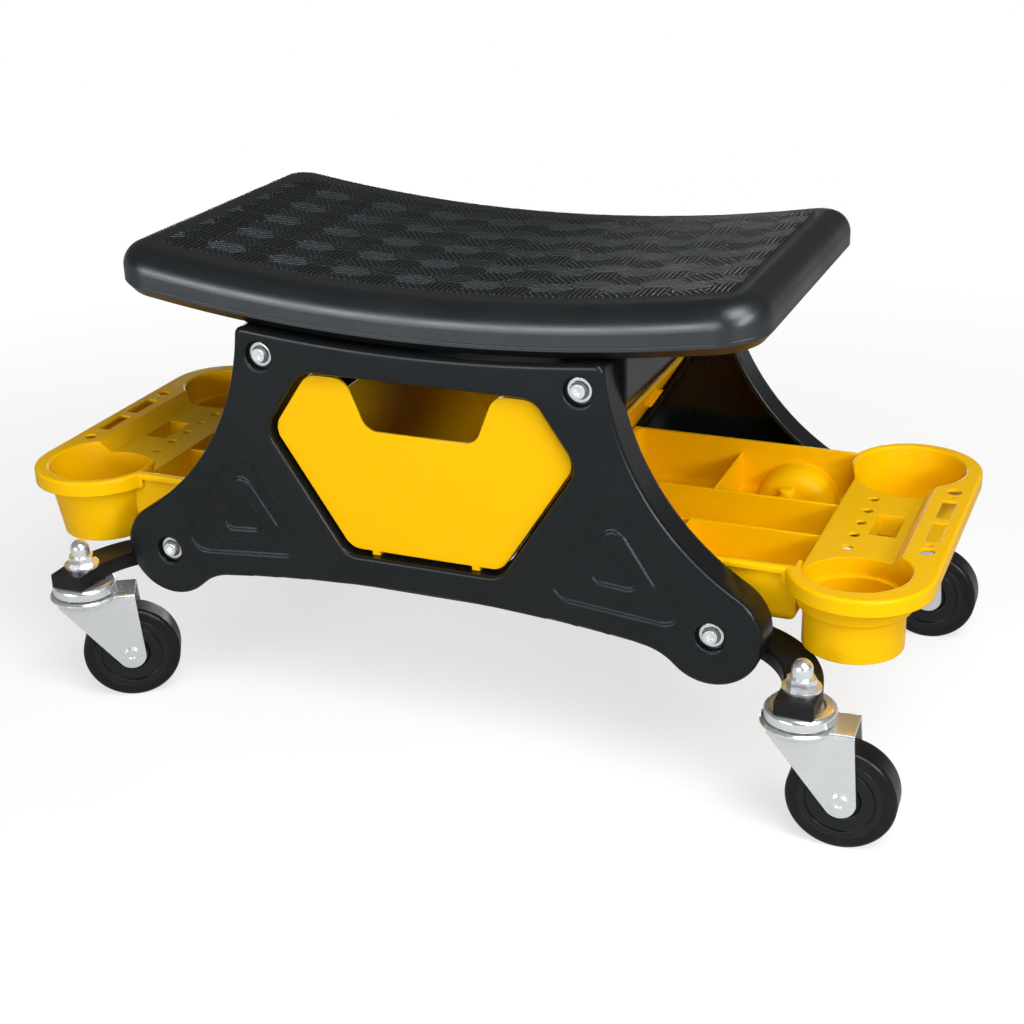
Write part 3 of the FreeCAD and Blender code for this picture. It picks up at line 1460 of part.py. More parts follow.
doc.recompute()
for thing in doc.Objects:
    if "Invalid" in thing.State or "Error" in thing.State:
        raise ValueError("%s failed: %s" % (thing.Name, thing.State))
os.makedirs("parts", exist_ok=True)
for thing in parts:
    if thing.Shape.isNull() or not thing.Shape.isValid():
        raise ValueError("%s has no valid shape" % thing.Label)
for thing in parts:
    thing.Shape.exportStep("parts/%s.step" % thing.Label)
    print(thing.Label, len(thing.Shape.Solids), round(thing.Shape.Volume), thing.Shape.BoundBox)
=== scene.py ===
# %% [markdown]
# A rolling mechanic seat, dressed for its picture. The solid parts come packed from the CAD model and already sit
# where they belong, in metres, so this lesson only adds what a CAD model leaves out: the pressed tread on the seat,
# a few thin trims, the finishes, the light and the camera.

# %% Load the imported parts
import json
import math

import bpy
from mathutils import Matrix, Quaternion, Vector


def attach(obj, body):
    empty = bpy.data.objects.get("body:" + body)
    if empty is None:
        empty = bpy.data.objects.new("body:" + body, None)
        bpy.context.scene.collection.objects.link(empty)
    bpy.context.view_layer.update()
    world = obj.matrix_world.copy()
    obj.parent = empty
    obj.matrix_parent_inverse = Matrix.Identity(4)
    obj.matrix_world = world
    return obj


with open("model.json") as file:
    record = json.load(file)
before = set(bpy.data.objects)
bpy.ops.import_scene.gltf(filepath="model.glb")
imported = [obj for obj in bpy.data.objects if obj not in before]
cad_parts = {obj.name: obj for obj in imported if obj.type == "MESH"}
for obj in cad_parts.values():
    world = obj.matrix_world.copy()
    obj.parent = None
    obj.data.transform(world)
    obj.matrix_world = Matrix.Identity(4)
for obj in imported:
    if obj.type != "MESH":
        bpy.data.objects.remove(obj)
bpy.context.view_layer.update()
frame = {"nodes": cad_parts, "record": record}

nodes = frame["nodes"]
print("loaded", len(nodes), "nodes")

# %% [markdown]
# The seat's top is pressed with small hatched tiles, so that it grips. Each tile is a long six-sided patch of short
# parallel ridges, and the ridges of neighbouring tiles run four different ways, which is why the real seat shows
# bright and dark tiles under the same light. Real ridges are modelled here, because bump alone goes flat at a low
# angle. One bar is repeated by an array, turned, and trimmed to the tile's six sides.

# %% One patch of straight ridges
TILE_COLUMN = 0.0257
TILE_ROW = 0.021
RIDGE_PITCH = 0.0040
RIDGE_WIDTH = 0.0026
RIDGE_HEIGHT = 0.0007
CREST_SHARE = 0.45
PATCH_REACH = 2 * TILE_COLUMN
PATCH_ROWS = math.ceil(PATCH_REACH / RIDGE_PITCH)


def ridge_patch(name):
    """Straight ridges side by side, each with a crest that is narrower than its foot."""
    bpy.ops.object.select_all(action="DESELECT")
    bpy.ops.mesh.primitive_cube_add(size=1.0)
    patch = bpy.context.object
    patch.name = name
    bpy.ops.object.mode_set(mode="EDIT")
    bpy.ops.transform.resize(value=(PATCH_REACH, RIDGE_WIDTH, 2 * RIDGE_HEIGHT))
    bpy.ops.object.mode_set(mode="OBJECT")
    for corner in patch.data.vertices:
        corner.select = corner.co.z > 0
    bpy.ops.object.mode_set(mode="EDIT")
    bpy.ops.transform.resize(value=(1, CREST_SHARE, 1), center_override=(0, 0, 0))
    bpy.ops.mesh.select_all(action="SELECT")
    bpy.ops.transform.translate(value=(0, -(PATCH_ROWS - 1) / 2 * RIDGE_PITCH, 0))
    bpy.ops.object.mode_set(mode="OBJECT")
    repeat = patch.modifiers.new("rows", "ARRAY")
    repeat.count = PATCH_ROWS
    repeat.use_relative_offset = False
    repeat.use_constant_offset = True
    repeat.constant_offset_displace = (0, RIDGE_PITCH, 0)
    bpy.ops.object.modifier_apply(modifier="rows")
    return patch


print("ridges in a patch", PATCH_ROWS)

# %% Turn and trim the patches into tiles
TILE_GAP = 0.0007
RIDGE_ANGLES = (-52, 52, 90, 0)


def trim(plane_point, outward):
    """Cut away what lies beyond a plane and close the cut, in edit mode."""
    bpy.ops.mesh.select_all(action="SELECT")
    bpy.ops.mesh.bisect(plane_co=plane_point, plane_no=outward, use_fill=True, clear_outer=True)


def hatched_tile(name, angle):
    """A six-sided tile whose ridges are turned by an angle."""
    tile = ridge_patch(name)
    bpy.ops.object.mode_set(mode="EDIT")
    bpy.ops.mesh.select_all(action="SELECT")
    bpy.ops.transform.rotate(value=-angle, orient_axis="Z", center_override=(0, 0, 0))
    slant = Vector((TILE_ROW / 2, TILE_COLUMN / 3, 0)).normalized()
    tip = Vector((2 * TILE_COLUMN / 3, 0, 0))
    for side in (-1, 1):
        trim((0, side * (TILE_ROW - TILE_GAP) / 2, 0), (0, side, 0))
        for end in (-1, 1):
            outward = Vector((end * slant.x, side * slant.y, 0))
            trim(tip * end - outward * TILE_GAP / 2, outward)
    bpy.ops.object.mode_set(mode="OBJECT")
    return tile


tiles = [hatched_tile("tile_%d" % index, math.radians(angle)) for index, angle in enumerate(RIDGE_ANGLES)]
print("tiles", [len(tile.data.polygons) for tile in tiles])

# %% [markdown]
# The tiles follow the seat's long curve. They stand in columns, each half a tile out of step with the last. Each copy
# is set down on the curve at its own place and tipped to the slope there. Joined into one piece, they are trimmed to
# the smooth border that runs round the seat.

# %% Set the tiles down on the seat
SEAT_RADIUS = 1.300
SEAT_MIDDLE_Z = 0.346
TREAD_END = 0.218
TREAD_SIDE = 0.1103
TILE_START = (-0.0207, -0.0260)
COLUMNS = range(-9, 11)
ROWS = range(-7, 9)


def seat_slope(x):
    """Height and slope angle of the seat's top at a place along it."""
    angle = math.asin(x / SEAT_RADIUS)
    return SEAT_MIDDLE_Z + SEAT_RADIUS * (1 - math.cos(angle)), angle


copies = []
for column in COLUMNS:
    odd = column % 2
    for row in ROWS:
        x = TILE_START[0] + column * TILE_COLUMN
        y = TILE_START[1] + (row + odd / 2) * TILE_ROW
        if abs(x) > TREAD_END + TILE_COLUMN / 2 or abs(y) > TREAD_SIDE + TILE_ROW / 2:
            continue
        kind = tiles[2 * odd + row % 2]
        copy = bpy.data.objects.new("tread_copy", kind.data.copy())
        bpy.context.collection.objects.link(copy)
        level, angle = seat_slope(x)
        copy.location = (x, y, level)
        copy.rotation_euler = (0, -angle, 0)
        copies.append(copy)
print("tiles laid", len(copies))

# %% Join and trim the tread
bpy.ops.object.select_all(action="DESELECT")
for copy in copies:
    copy.select_set(True)
bpy.context.view_layer.objects.active = copies[0]
bpy.ops.object.transform_apply(location=True, rotation=True, scale=True)
bpy.ops.object.join()
tread = bpy.context.object
tread.name = "seat_tread"
bpy.ops.object.mode_set(mode="EDIT")
for side in (-1, 1):
    trim((side * TREAD_END, 0, 0), (side, 0, 0))
    trim((0, side * TREAD_SIDE, 0), (0, side, 0))
bpy.ops.object.mode_set(mode="OBJECT")
for tile in tiles:
    bpy.data.objects.remove(tile)
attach(tread, "chassis")
print("tread faces", len(tread.data.polygons))

# %% [markdown]
# The drawer's front has a rim that runs back behind its two shoulders. Thin dark lips are set inside the front panel's
# window on both slanted sides, and broader ones behind the rear panel's window, at the drawer's end. The lips are dark
# pieces put in the gap round the drawer so that the gap shows as shade, and with the rim they keep daylight out of it.
# All are ribbons: a grid is laid along the outline, which is worked out from the window's corners and rounding, and
# then extruded to its depth.

# %% Outline of the drawer's window
WINDOW_TOP = Vector((0.090, 0.287))
WINDOW_SIDE = Vector((0.122, 0.240))
WINDOW_LOW = Vector((0.062, 0.148))
WINDOW_ROUND = 0.018
ROUND_STEPS = 6


def rounded_corner(before, corner, after):
    """Points round a corner between two straight sides of the window."""
    to_before = (before - corner).normalized()
    to_after = (after - corner).normalized()
    half = to_before.angle(to_after) / 2
    middle = corner + (to_before + to_after).normalized() * WINDOW_ROUND / math.sin(half)
    first = corner + to_before * WINDOW_ROUND / math.tan(half) - middle
    last = corner + to_after * WINDOW_ROUND / math.tan(half) - middle
    turn = first.angle_signed(last)
    return [middle + Matrix.Rotation(-turn * step / ROUND_STEPS, 2) @ first for step in range(ROUND_STEPS + 1)]


low_end = rounded_corner(WINDOW_SIDE, WINDOW_LOW, Vector((0, WINDOW_LOW.y)))
side_end = rounded_corner(WINDOW_TOP, WINDOW_SIDE, WINDOW_LOW)
shoulder = rounded_corner(Vector((0, WINDOW_TOP.y)), WINDOW_TOP, WINDOW_SIDE)
print("points in the outline", len(low_end + side_end + shoulder))

# %% Ribbons along an outline
def drawn_in(points, distance):
    """The same line moved to its left by a distance."""
    moved = []
    for index, point in enumerate(points):
        ahead = points[min(index + 1, len(points) - 1)] - points[max(index - 1, 0)]
        moved.append(point + Vector((-ahead.y, ahead.x)).normalized() * distance)
    return moved


def ribbon(name, outer, thick, near, far):
    """A ribbon along a line in the front plane, thickened to its left and extruded from near to far."""
    sides = (outer, drawn_in(outer, thick))
    bpy.ops.object.select_all(action="DESELECT")
    bpy.ops.mesh.primitive_grid_add(x_subdivisions=len(outer) - 1, y_subdivisions=1, size=1.0)
    strip = bpy.context.object
    strip.name = name
    for corner in strip.data.vertices:
        station = round((corner.co.x + 0.5) * (len(outer) - 1))
        x, z = sides[corner.co.y > 0][station]
        corner.co = (x, near, z)
    bpy.ops.object.mode_set(mode="EDIT")
    bpy.ops.mesh.select_all(action="SELECT")
    bpy.ops.mesh.extrude_region_move(TRANSFORM_OT_translate={"value": (0, far - near, 0)})
    bpy.ops.mesh.select_all(action="SELECT")
    bpy.ops.mesh.normals_make_consistent(inside=False)
    bpy.ops.object.mode_set(mode="OBJECT")
    return strip


# %% Fit a trim and its copies
trims = []


def fitted(piece, body, slot):
    """Let a finished trim move with a body, and remember its finish for later."""
    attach(piece, body)
    trims.append((piece, slot))


def own_copy(piece, name, move):
    """A copy with its own mesh, moved or mirrored."""
    copy = bpy.data.objects.new(name, piece.data.copy())
    bpy.context.collection.objects.link(copy)
    copy.data.transform(move)
    if move.determinant() < 0:
        copy.data.flip_normals()
    return copy


# %% Window lips standing in for shade, and drawer rims
LIP_THICK, LIP_NEAR, LIP_FAR = 0.0026, -0.128, -0.122
REAR_THICK, REAR_NEAR, REAR_FAR = 0.0100, 0.1325, 0.1365
RIM_THICK, RIM_NEAR, RIM_FAR = 0.0020, -0.1354, -0.123
RIM_START = Vector((0.066, WINDOW_TOP.y))
DRAWER_GAP = 0.0035
MIRROR_X = Matrix.Scale(-1, 4, Vector((1, 0, 0)))

# The lips are dark pieces that stand in for the shade in the gap round the drawer.
lip_line = low_end[::-1] + [side_end[-1]]
lip = ribbon("window_shade_lip_right", lip_line, LIP_THICK, LIP_NEAR, LIP_FAR)
fitted(lip, "chassis", "panel_plastic")
fitted(own_copy(lip, "window_shade_lip_left", MIRROR_X), "chassis", "panel_plastic")
rear_lip = ribbon("rear_shade_lip_right", lip_line, REAR_THICK, REAR_NEAR, REAR_FAR)
fitted(rear_lip, "chassis", "panel_plastic")
fitted(own_copy(rear_lip, "rear_shade_lip_left", MIRROR_X), "chassis", "panel_plastic")
rim_line = drawn_in([side_end[0]] + shoulder[::-1] + [RIM_START], DRAWER_GAP)
rim = ribbon("drawer_rim_right", rim_line, RIM_THICK, RIM_NEAR, RIM_FAR)
fitted(rim, "drawer_body", "yellow_plastic")
fitted(own_copy(rim, "drawer_rim_left", MIRROR_X), "drawer_body", "yellow_plastic")
print("ribbons", [piece.name for piece, slot in trims])

# %% [markdown]
# The slot in each tray's rack goes on below as a short open sleeve, so that a tool's handle stands straight in it. A
# four-sided tube is turned square to the slot and stretched to its size. Its wall then grows outwards, so the slot
# keeps its full width. The left one is a copy, turned half round.

# %% Rack sleeves
SLOT_X, SLOT_WIDTH, SLOT_LENGTH = 0.3075, 0.020, 0.038
SLEEVE_TOP, SLEEVE_FOOT, SLEEVE_WALL = 0.1630, 0.1485, 0.0016
UNIT_SQUARE_RADIUS = math.sqrt(0.5)
HALF_TURN = Matrix.Rotation(math.pi, 4, "Z")

bpy.ops.object.select_all(action="DESELECT")
bpy.ops.mesh.primitive_cylinder_add(vertices=4, radius=UNIT_SQUARE_RADIUS, depth=1.0, end_fill_type="NOTHING")
sleeve = bpy.context.object
sleeve.name = "rack_sleeve_right"
bpy.ops.object.mode_set(mode="EDIT")
bpy.ops.mesh.select_all(action="SELECT")
bpy.ops.transform.rotate(value=math.pi / 4, orient_axis="Z", center_override=(0, 0, 0))
bpy.ops.transform.resize(value=(SLOT_WIDTH, SLOT_LENGTH, SLEEVE_TOP - SLEEVE_FOOT), center_override=(0, 0, 0))
bpy.ops.transform.translate(value=(SLOT_X, 0, (SLEEVE_TOP + SLEEVE_FOOT) / 2))
bpy.ops.object.mode_set(mode="OBJECT")
wall = sleeve.modifiers.new("wall", "SOLIDIFY")
wall.thickness = SLEEVE_WALL
wall.offset = 1.0
wall.use_even_offset = True
bpy.ops.object.modifier_apply(modifier="wall")
fitted(sleeve, "chassis", "yellow_plastic")
fitted(own_copy(sleeve, "rack_sleeve_left", HALF_TURN), "chassis", "yellow_plastic")
print("sleeve", len(sleeve.data.polygons), "faces")

# %% [markdown]
# A round cap covers each of the four screws that hold the trays down. One is shaped from a cylinder whose top edge is
# rounded by a bevel, and the others are copies of it, because all four are alike.

# %% Screw caps
CAP_X, CAP_Y = 0.213, 0.0795
CAP_FOOT, CAP_TOP, CAP_RADIUS, CAP_ROUND = 0.1385, 0.1500, 0.0065, 0.0022
CAP_SIDES, CAP_ROUND_STEPS = 40, 5
SMOOTH_BELOW = math.radians(40)

bpy.ops.object.select_all(action="DESELECT")
bpy.ops.mesh.primitive_cylinder_add(vertices=CAP_SIDES, radius=CAP_RADIUS, depth=CAP_TOP - CAP_FOOT)
cap = bpy.context.object
cap.name = "screw_cap_right_rear"
for group in (cap.data.polygons, cap.data.edges):
    for item in group:
        item.select = False
for corner in cap.data.vertices:
    corner.select = corner.co.z > 0
bpy.ops.object.mode_set(mode="EDIT")
bpy.ops.mesh.bevel(offset=CAP_ROUND, segments=CAP_ROUND_STEPS, affect="EDGES")
bpy.ops.mesh.select_all(action="SELECT")
bpy.ops.transform.translate(value=(CAP_X, CAP_Y, (CAP_TOP + CAP_FOOT) / 2))
bpy.ops.object.mode_set(mode="OBJECT")
bpy.ops.object.shade_smooth_by_angle(angle=SMOOTH_BELOW)
fitted(cap, "chassis", "yellow_plastic")
across = Matrix.Translation((-2 * CAP_X, 0, 0))
forward = Matrix.Translation((0, -2 * CAP_Y, 0))
for name, move in (("left_rear", across), ("right_front", forward), ("left_front", across @ forward)):
    fitted(own_copy(cap, "screw_cap_" + name, move), "chassis", "yellow_plastic")
print("trims", len(trims))

# %% [markdown]
# Finishes are built from nodes, on object coordinates, so a grain keeps its real size on every part. A few helpers
# come first: a noise pattern, a range of values, a blend of two colours, and two values joined by one operation.

# %% Helpers for patterns and colours
# A mix node's colour sockets share their names with its number sockets, so they are found by their place.
MIX_AMOUNT, MIX_PLAIN, MIX_MARKED, MIX_COLOUR = 0, 6, 7, 2


def add_node(tree, kind, **settings):
    """A new node of a kind, with its settings."""
    made = tree.nodes.new(kind)
    for name, value in settings.items():
        setattr(made, name, value)
    return made


def noise(tree, coordinates, scale, detail=4.0, stretch=(1, 1, 1)):
    """A noise pattern of a given scale per metre."""
    mapping = add_node(tree, "ShaderNodeMapping")
    mapping.inputs["Scale"].default_value = stretch
    tree.links.new(coordinates, mapping.inputs["Vector"])
    texture = add_node(tree, "ShaderNodeTexNoise")
    texture.inputs["Scale"].default_value = scale
    texture.inputs["Detail"].default_value = detail
    tree.links.new(mapping.outputs["Vector"], texture.inputs["Vector"])
    return texture.outputs["Fac"]


def spread(tree, value, low, high, from_low=0.0, from_high=1.0):
    """Map a pattern onto a range of values."""
    ranged = add_node(tree, "ShaderNodeMapRange")
    for name, number in (("From Min", from_low), ("From Max", from_high), ("To Min", low), ("To Max", high)):
        ranged.inputs[name].default_value = number
    tree.links.new(value, ranged.inputs["Value"])
    return ranged.outputs["Result"]


def tint(tree, amount, plain, marked):
    """Blend two colours by an amount."""
    mix = add_node(tree, "ShaderNodeMix", data_type="RGBA")
    mix.inputs[MIX_PLAIN].default_value = (*plain, 1)
    mix.inputs[MIX_MARKED].default_value = (*marked, 1)
    tree.links.new(amount, mix.inputs[MIX_AMOUNT])
    return mix.outputs[MIX_COLOUR]


def combined(tree, operation, first, second):
    """Two values joined by one operation, such as the larger of them."""
    made = add_node(tree, "ShaderNodeMath", operation=operation)
    tree.links.new(first, made.inputs[0])
    tree.links.new(second, made.inputs[1])
    return made.outputs["Value"]


# %% [markdown]
# Real edges are never quite sharp, and they wear first. A bevel node rounds the normals along every sharp edge of a
# part without changing its mesh. Where the rounded normal leaves the face's own, the edge is rubbed, and a noise
# pattern breaks that up so it doesn't look drawn on.

# %% Helpers for edges and surfaces
EDGE_SAMPLES = 8
RUBBED_FULLY, RUBBED_FROM = 0.70, 0.97


def soft_edges(tree, radius):
    """Normals that run round every sharp edge as if it had a small radius."""
    bevel = add_node(tree, "ShaderNodeBevel", samples=EDGE_SAMPLES)
    bevel.inputs["Radius"].default_value = radius
    return bevel.outputs["Normal"]


def rubbed_edges(tree, edges, pattern):
    """How far an edge is rubbed, broken up by a pattern."""
    face = add_node(tree, "ShaderNodeNewGeometry")
    agree = add_node(tree, "ShaderNodeVectorMath", operation="DOT_PRODUCT")
    tree.links.new(face.outputs["Normal"], agree.inputs[0])
    tree.links.new(edges, agree.inputs[1])
    turned = spread(tree, agree.outputs["Value"], 1.0, 0.0, RUBBED_FULLY, RUBBED_FROM)
    broken = spread(tree, pattern, low=0.15, high=1.0, from_low=0.35, from_high=0.65)
    return combined(tree, "MULTIPLY", turned, broken)


def relief(tree, height, strength, distance, edges):
    """A bump laid over softened edges."""
    bump = add_node(tree, "ShaderNodeBump")
    bump.inputs["Strength"].default_value = strength
    bump.inputs["Distance"].default_value = distance
    tree.links.new(height, bump.inputs["Height"])
    tree.links.new(edges, bump.inputs["Normal"])
    return bump.outputs["Normal"]


def new_finish(name):
    """An empty material with its shader and the part's own coordinates."""
    material = bpy.data.materials.new(name)
    material.use_nodes = True
    tree = material.node_tree
    coordinates = add_node(tree, "ShaderNodeTexCoord").outputs["Object"]
    return material, tree, tree.nodes["Principled BSDF"], coordinates


def dress(tree, shader, colour, roughness, normal):
    """Lead a finish's colour, roughness and normal to its shader."""
    for socket, value in (("Base Color", colour), ("Roughness", roughness), ("Normal", normal)):
        tree.links.new(value, shader.inputs[socket])


# %% [markdown]
# A moulded plastic is one colour with a fine grain in its surface, slow patches where it is a little duller, and pale
# scuffs from use. One helper makes all the plastics, each with its own colour and gloss. The shine is tinted a little
# cool, as a white studio looks on black plastic.

# %% Moulded plastics
COOL_SHINE = (0.86, 0.96, 1.0, 1)
GLOSS_BELOW, GLOSS_ABOVE = 0.05, 0.07
BLACK, BLACK_SCUFF = (0.0042, 0.0048, 0.0056), (0.012, 0.013, 0.0145)
YELLOW, YELLOW_SCUFF = (0.88, 0.485, 0.0005), (0.90, 0.52, 0.008)
HUB_BLACK, HUB_SCUFF = (0.0050, 0.0052, 0.0056), (0.014, 0.014, 0.015)


def moulded(name, colour, scuffed, gloss, shine, grain_scale, grain_depth, edge_radius):
    """Moulded plastic: fine grain, dull patches, pale scuffs and rubbed edges."""
    material, tree, shader, place = new_finish(name)
    shader.inputs["Specular IOR Level"].default_value = shine
    shader.inputs["Specular Tint"].default_value = COOL_SHINE
    edges = soft_edges(tree, edge_radius)
    patches = noise(tree, place, scale=14.0)
    scuffs = noise(tree, place, scale=55.0, detail=8.0, stretch=(1, 1, 2.5))
    marks = spread(tree, scuffs, low=0.0, high=0.55, from_low=0.60, from_high=0.82)
    worn = combined(tree, "MAXIMUM", marks, rubbed_edges(tree, edges, scuffs))
    dull = spread(tree, patches, gloss - GLOSS_BELOW, gloss + GLOSS_ABOVE, from_low=0.3, from_high=0.7)
    grain = noise(tree, place, grain_scale, detail=2.0)
    skin = relief(tree, grain, strength=0.35, distance=grain_depth, edges=edges)
    dress(tree, shader, tint(tree, worn, colour, scuffed), dull, skin)
    return material


seat_black = moulded("seat_black", BLACK, BLACK_SCUFF, gloss=0.36, shine=0.90,
                     grain_scale=900.0, grain_depth=0.00010, edge_radius=0.0008)
panel_black = moulded("panel_black", BLACK, BLACK_SCUFF, gloss=0.27, shine=0.34,
                      grain_scale=700.0, grain_depth=0.00006, edge_radius=0.0034)
tool_yellow = moulded("tool_yellow", YELLOW, YELLOW_SCUFF, gloss=0.34, shine=0.10,
                      grain_scale=500.0, grain_depth=0.00006, edge_radius=0.0010)
wheel_black = moulded("wheel_black", HUB_BLACK, HUB_SCUFF, gloss=0.26, shine=0.40,
                      grain_scale=600.0, grain_depth=0.00005, edge_radius=0.0010)
print("plastics", [finish.name for finish in (seat_black, panel_black, tool_yellow, wheel_black)])

# %% [markdown]
# The tyres are a harder rubber that picks up dust on the tread. The bars are steel with a black powder coat, whose
# skin has the slight waves of orange peel and is rubbed thin along the edges.

# %% Rubber and powder coat
RUBBER, RUBBER_DUST = (0.0060, 0.0060, 0.0063), (0.018, 0.0175, 0.016)
COAT, COAT_RUBBED = (0.0052, 0.0053, 0.0056), (0.024, 0.024, 0.023)


def dusty_rubber():
    """Hard rubber, paler and duller where dust lies."""
    material, tree, shader, place = new_finish("tyre_rubber")
    shader.inputs["Specular IOR Level"].default_value = 0.25
    edges = soft_edges(tree, radius=0.0008)
    specks = noise(tree, place, scale=70.0, detail=6.0)
    dust = spread(tree, specks, low=0.0, high=0.5, from_low=0.52, from_high=0.78)
    worn = combined(tree, "MAXIMUM", dust, rubbed_edges(tree, edges, dust))
    dull = spread(tree, dust, low=0.30, high=0.55)
    grain = noise(tree, place, scale=1200.0, detail=2.0)
    skin = relief(tree, grain, strength=0.3, distance=0.0001, edges=edges)
    dress(tree, shader, tint(tree, worn, RUBBER, RUBBER_DUST), dull, skin)
    return material


def powder_coat():
    """Black powder coat with orange peel, rubbed along the edges."""
    material, tree, shader, place = new_finish("bar_powder_coat")
    shader.inputs["Specular IOR Level"].default_value = 0.22
    edges = soft_edges(tree, radius=0.0007)
    patches = noise(tree, place, scale=30.0)
    rubbed = rubbed_edges(tree, edges, noise(tree, place, scale=120.0, detail=6.0))
    worn = combined(tree, "MAXIMUM", spread(tree, patches, low=0.0, high=0.35), rubbed)
    dull = spread(tree, patches, low=0.32, high=0.46, from_low=0.3, from_high=0.7)
    peel = noise(tree, place, scale=420.0, detail=2.0)
    skin = relief(tree, peel, strength=0.5, distance=0.0002, edges=edges)
    dress(tree, shader, tint(tree, worn, COAT, COAT_RUBBED), dull, skin)
    return material


tyre_rubber, bar_coat = dusty_rubber(), powder_coat()
print("dull blacks", tyre_rubber.name, bar_coat.name)

# %% [markdown]
# The casters and bolts are zinc plated: bright metal with faint cloudy patches and fine rolling lines along the
# sheet. The threaded inserts are brass, which is a plainer version of the same finish.

# %% Zinc and brass
ZINC, ZINC_CLOUD = (0.86, 0.89, 0.91), (0.95, 0.97, 0.98)
BRASS, BRASS_CLOUD = (0.62, 0.45, 0.17), (0.74, 0.56, 0.26)


def zinc_plate():
    """Bright zinc with cloudy patches and rolling lines."""
    material, tree, shader, place = new_finish("zinc_plate")
    shader.inputs["Metallic"].default_value = 0.86
    edges = soft_edges(tree, radius=0.0003)
    clouds = noise(tree, place, scale=60.0, detail=5.0)
    lines = noise(tree, place, scale=260.0, detail=3.0, stretch=(6, 1, 1))
    dull = spread(tree, clouds, low=0.15, high=0.30, from_low=0.3, from_high=0.7)
    skin = relief(tree, lines, strength=0.12, distance=0.0001, edges=edges)
    dress(tree, shader, tint(tree, clouds, ZINC, ZINC_CLOUD), dull, skin)
    return material


def plain_brass():
    """Turned brass with faint clouds."""
    material, tree, shader, place = new_finish("insert_brass")
    shader.inputs["Metallic"].default_value = 1.0
    edges = soft_edges(tree, radius=0.0004)
    clouds = noise(tree, place, scale=90.0)
    dull = spread(tree, clouds, low=0.25, high=0.42)
    skin = relief(tree, clouds, strength=0.1, distance=0.0001, edges=edges)
    dress(tree, shader, tint(tree, clouds, BRASS, BRASS_CLOUD), dull, skin)
    return material


bright_zinc, insert_brass = zinc_plate(), plain_brass()
print("metals", bright_zinc.name, insert_brass.name)

# %% [markdown]
# Every part's record names the slot that it takes its finish from, and each added piece has been given one too. So the
# finishes go into one table by slot, and a single loop dresses them all. Parts of the same slot share one material.

# %% Dress every part
finishes = {
    "seat_plastic": seat_black,
    "panel_plastic": panel_black,
    "yellow_plastic": tool_yellow,
    "painted_bar": bar_coat,
    "zinc_steel": bright_zinc,
    "insert_brass": insert_brass,
    "wheel_plastic": wheel_black,
    "wheel_rubber": tyre_rubber,
}
parts = [(nodes[entry["node"]], entry["material_slot"]) for entry in frame["record"]["subparts"]]
for piece, slot in parts + trims + [(tread, "seat_plastic")]:
    piece.data.materials.clear()
    piece.data.materials.append(finishes[slot])
print("dressed", len(parts), "parts and", len(trims) + 1, "added pieces")

# %% [markdown]
# The picture was taken in a white studio. The pale floor takes the seat's shadow near by and runs out to plain white
# further off, which only the camera sees. Near by the floor also glows a little, fully for the camera and faintly for
# bright metal that mirrors it. The seat itself is lit from below by the floor's own colour alone, so the white round
# it adds no light.

# %% Floor
WHITE = (1, 1, 1, 1)
FLOOR_SIZE = 40.0
FLOOR_GREY = (0.36, 0.36, 0.36, 1)
FLOOR_ROUGHNESS = 0.9
FLOOR_GLOW = 0.66
MIRRORED_SHARE = 0.30
WHITE_FROM, WHITE_FULLY = 0.50, 1.20


def pale_floor():
    """A pale floor that keeps the shadow near by and is white to the camera further off."""
    material, tree, near, place = new_finish("pale_floor")
    near.inputs["Base Color"].default_value = FLOOR_GREY
    near.inputs["Roughness"].default_value = FLOOR_ROUGHNESS
    near.inputs["Specular IOR Level"].default_value = 0.0
    near.inputs["Emission Color"].default_value = WHITE
    path = add_node(tree, "ShaderNodeLightPath").outputs
    mirrored = combined(tree, "MAXIMUM", path["Is Glossy Ray"], path["Is Transmission Ray"])
    seen = combined(tree, "MAXIMUM", path["Is Camera Ray"], spread(tree, mirrored, 0.0, MIRRORED_SHARE))
    tree.links.new(spread(tree, seen, 0.0, FLOOR_GLOW), near.inputs["Emission Strength"])
    away = add_node(tree, "ShaderNodeVectorMath", operation="LENGTH")
    tree.links.new(place, away.inputs[0])
    faded = spread(tree, away.outputs["Value"], 0.0, 1.0, WHITE_FROM, WHITE_FULLY)
    blend = add_node(tree, "ShaderNodeMixShader")
    tree.links.new(combined(tree, "MULTIPLY", faded, path["Is Camera Ray"]), blend.inputs[0])
    tree.links.new(near.outputs["BSDF"], blend.inputs[1])
    tree.links.new(add_node(tree, "ShaderNodeEmission").outputs["Emission"], blend.inputs[2])
    tree.links.new(blend.outputs["Shader"], tree.nodes["Material Output"].inputs["Surface"])
    return material


bpy.ops.object.select_all(action="DESELECT")
bpy.ops.mesh.primitive_plane_add(size=FLOOR_SIZE)
floor = bpy.context.object
floor.name = "studio_floor"
floor.data.materials.append(pale_floor())
print("floor", FLOOR_SIZE, "m wide")

# %% [markdown]
# The studio's walls are white and its ceiling is dark, so that black plastic keeps its depth: it shows bright edges
# where it mirrors a wall or a lamp, and stays black on top. Two soft lamps stand low: a broad one to the left of
# the front, and to the right a strip that is tilted to run along the mirror image of the rounded edges. A third hangs
# high in front, to reach down into the trays. A low one fills in the back and stays below the seat's top, because
# light from behind would spread a pale sheen over the tread.

# %% Walls and ceiling
WALL_GLOW, CEILING_GLOW = 1.0, 0.13
WALL_TOP = 0.06

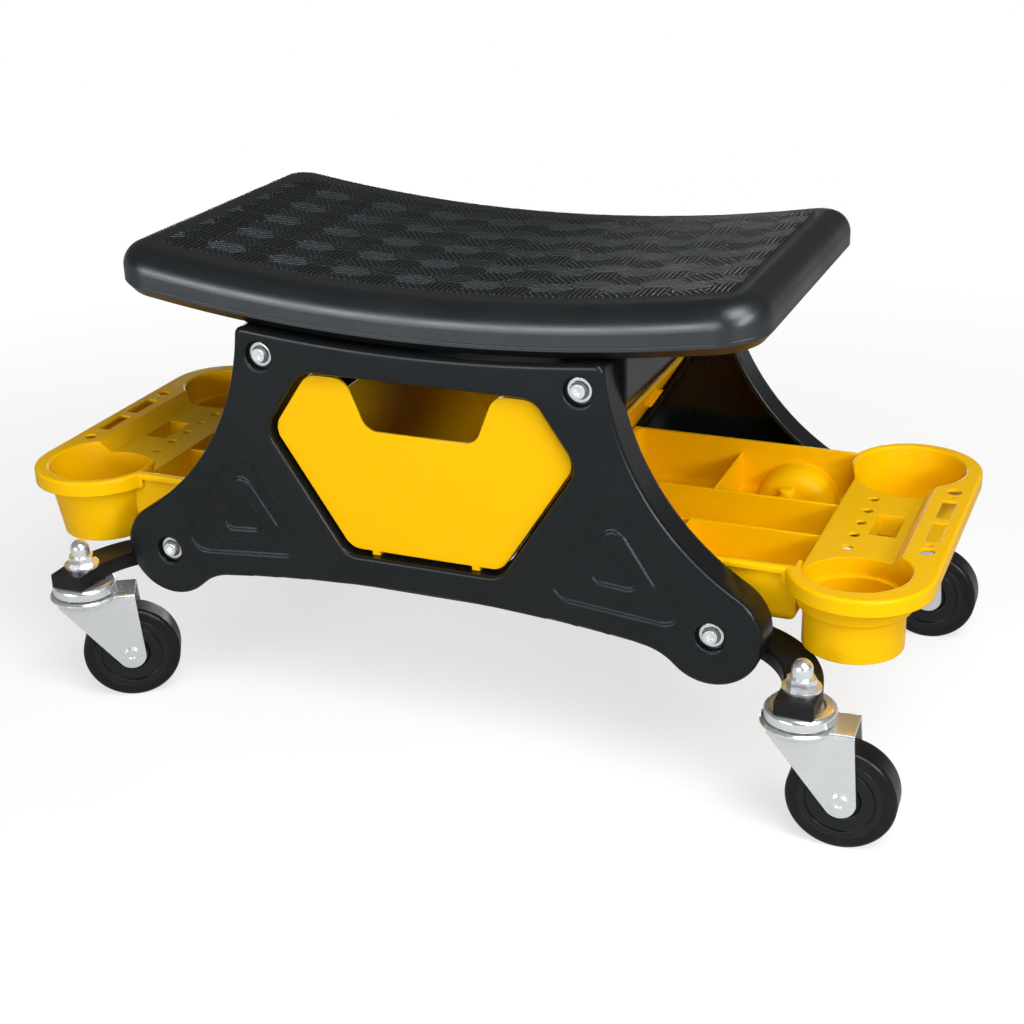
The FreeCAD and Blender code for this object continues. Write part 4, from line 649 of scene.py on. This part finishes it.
world = bpy.data.worlds.new("studio")
world.use_nodes = True
bpy.context.scene.world = world
studio = world.node_tree
sky = studio.nodes["Background"]
sky.inputs["Color"].default_value = WHITE
direction = add_node(studio, "ShaderNodeSeparateXYZ")
studio.links.new(add_node(studio, "ShaderNodeTexCoord").outputs["Generated"], direction.inputs[0])
glow = spread(studio, direction.outputs["Z"], WALL_GLOW, CEILING_GLOW, 0.0, WALL_TOP)
looked_at = add_node(studio, "ShaderNodeLightPath").outputs["Is Camera Ray"]
studio.links.new(combined(studio, "MAXIMUM", glow, looked_at), sky.inputs["Strength"])
print("walls", WALL_GLOW, "ceiling", CEILING_GLOW)

# %% Lamps
# Each lamp has its place, what it points at, its width and height, its tilt in degrees and its power in watts.
LAMPS = {
    "left_softbox": ((-0.95, -2.30, 0.55), (0, 0, 0.28), (1.4, 0.5), 0, 24.0),
    "right_striplight": ((1.75, -1.15, 0.98), (0, 0, 0.28), (1.5, 0.4), 33, 26.0),
    "top_softbox": ((0.95, -1.05, 1.90), (0.10, 0, 0.2), (1.3, 1.3), 0, 37.0),
    "rear_fill": ((-0.70, 1.80, 0.19), (0, 0, 0.18), (1.4, 0.3), 0, 17.0),
}
for name, (spot, target, (width, tall), tilt, power) in LAMPS.items():
    lamp = bpy.data.lights.new(name, "AREA")
    lamp.shape = "RECTANGLE"
    lamp.size = width
    lamp.size_y = tall
    lamp.energy = power
    holder = bpy.data.objects.new(name, lamp)
    holder.location = spot
    aim = (Vector(target) - Vector(spot)).to_track_quat("-Z", "Y")
    holder.rotation_euler = (aim @ Quaternion((0, 0, 1), math.radians(tilt))).to_euler()
    bpy.context.collection.objects.link(holder)
print("lamps", len(LAMPS))

# %% [markdown]
# The camera stands where the picture was taken from: a little to the right of the front, looking down. Its angles
# come from matching the seat's corners, bolts and wheels in the picture.

# %% Camera
TURN, RISE, ROLL = (math.radians(angle) for angle in (23.1949, 23.5563, -1.6286))
DISTANCE = 1.3889
TARGET = Vector((0.0107, 0.0, 0.1334))
LENS, SENSOR = 61.25, 36.0

back = Vector((math.sin(TURN) * math.cos(RISE), -math.cos(TURN) * math.cos(RISE), math.sin(RISE)))
right = (-back).cross(Vector((0, 0, 1))).normalized()
up = right.cross(-back)
rolled_right = right * math.cos(ROLL) + up * math.sin(ROLL)
rolled_up = up * math.cos(ROLL) - right * math.sin(ROLL)
camera = bpy.data.cameras.new("photo_camera")
camera.lens = LENS
camera.sensor_width = SENSOR
viewer = bpy.data.objects.new("photo_camera", camera)
pose = Matrix((rolled_right, rolled_up, back)).transposed().to_4x4()
pose.translation = TARGET + back * DISTANCE
viewer.matrix_world = pose
bpy.context.collection.objects.link(viewer)
bpy.context.scene.camera = viewer
bpy.context.scene.view_settings.view_transform = "Standard"
print("camera at", [round(value, 3) for value in pose.translation])
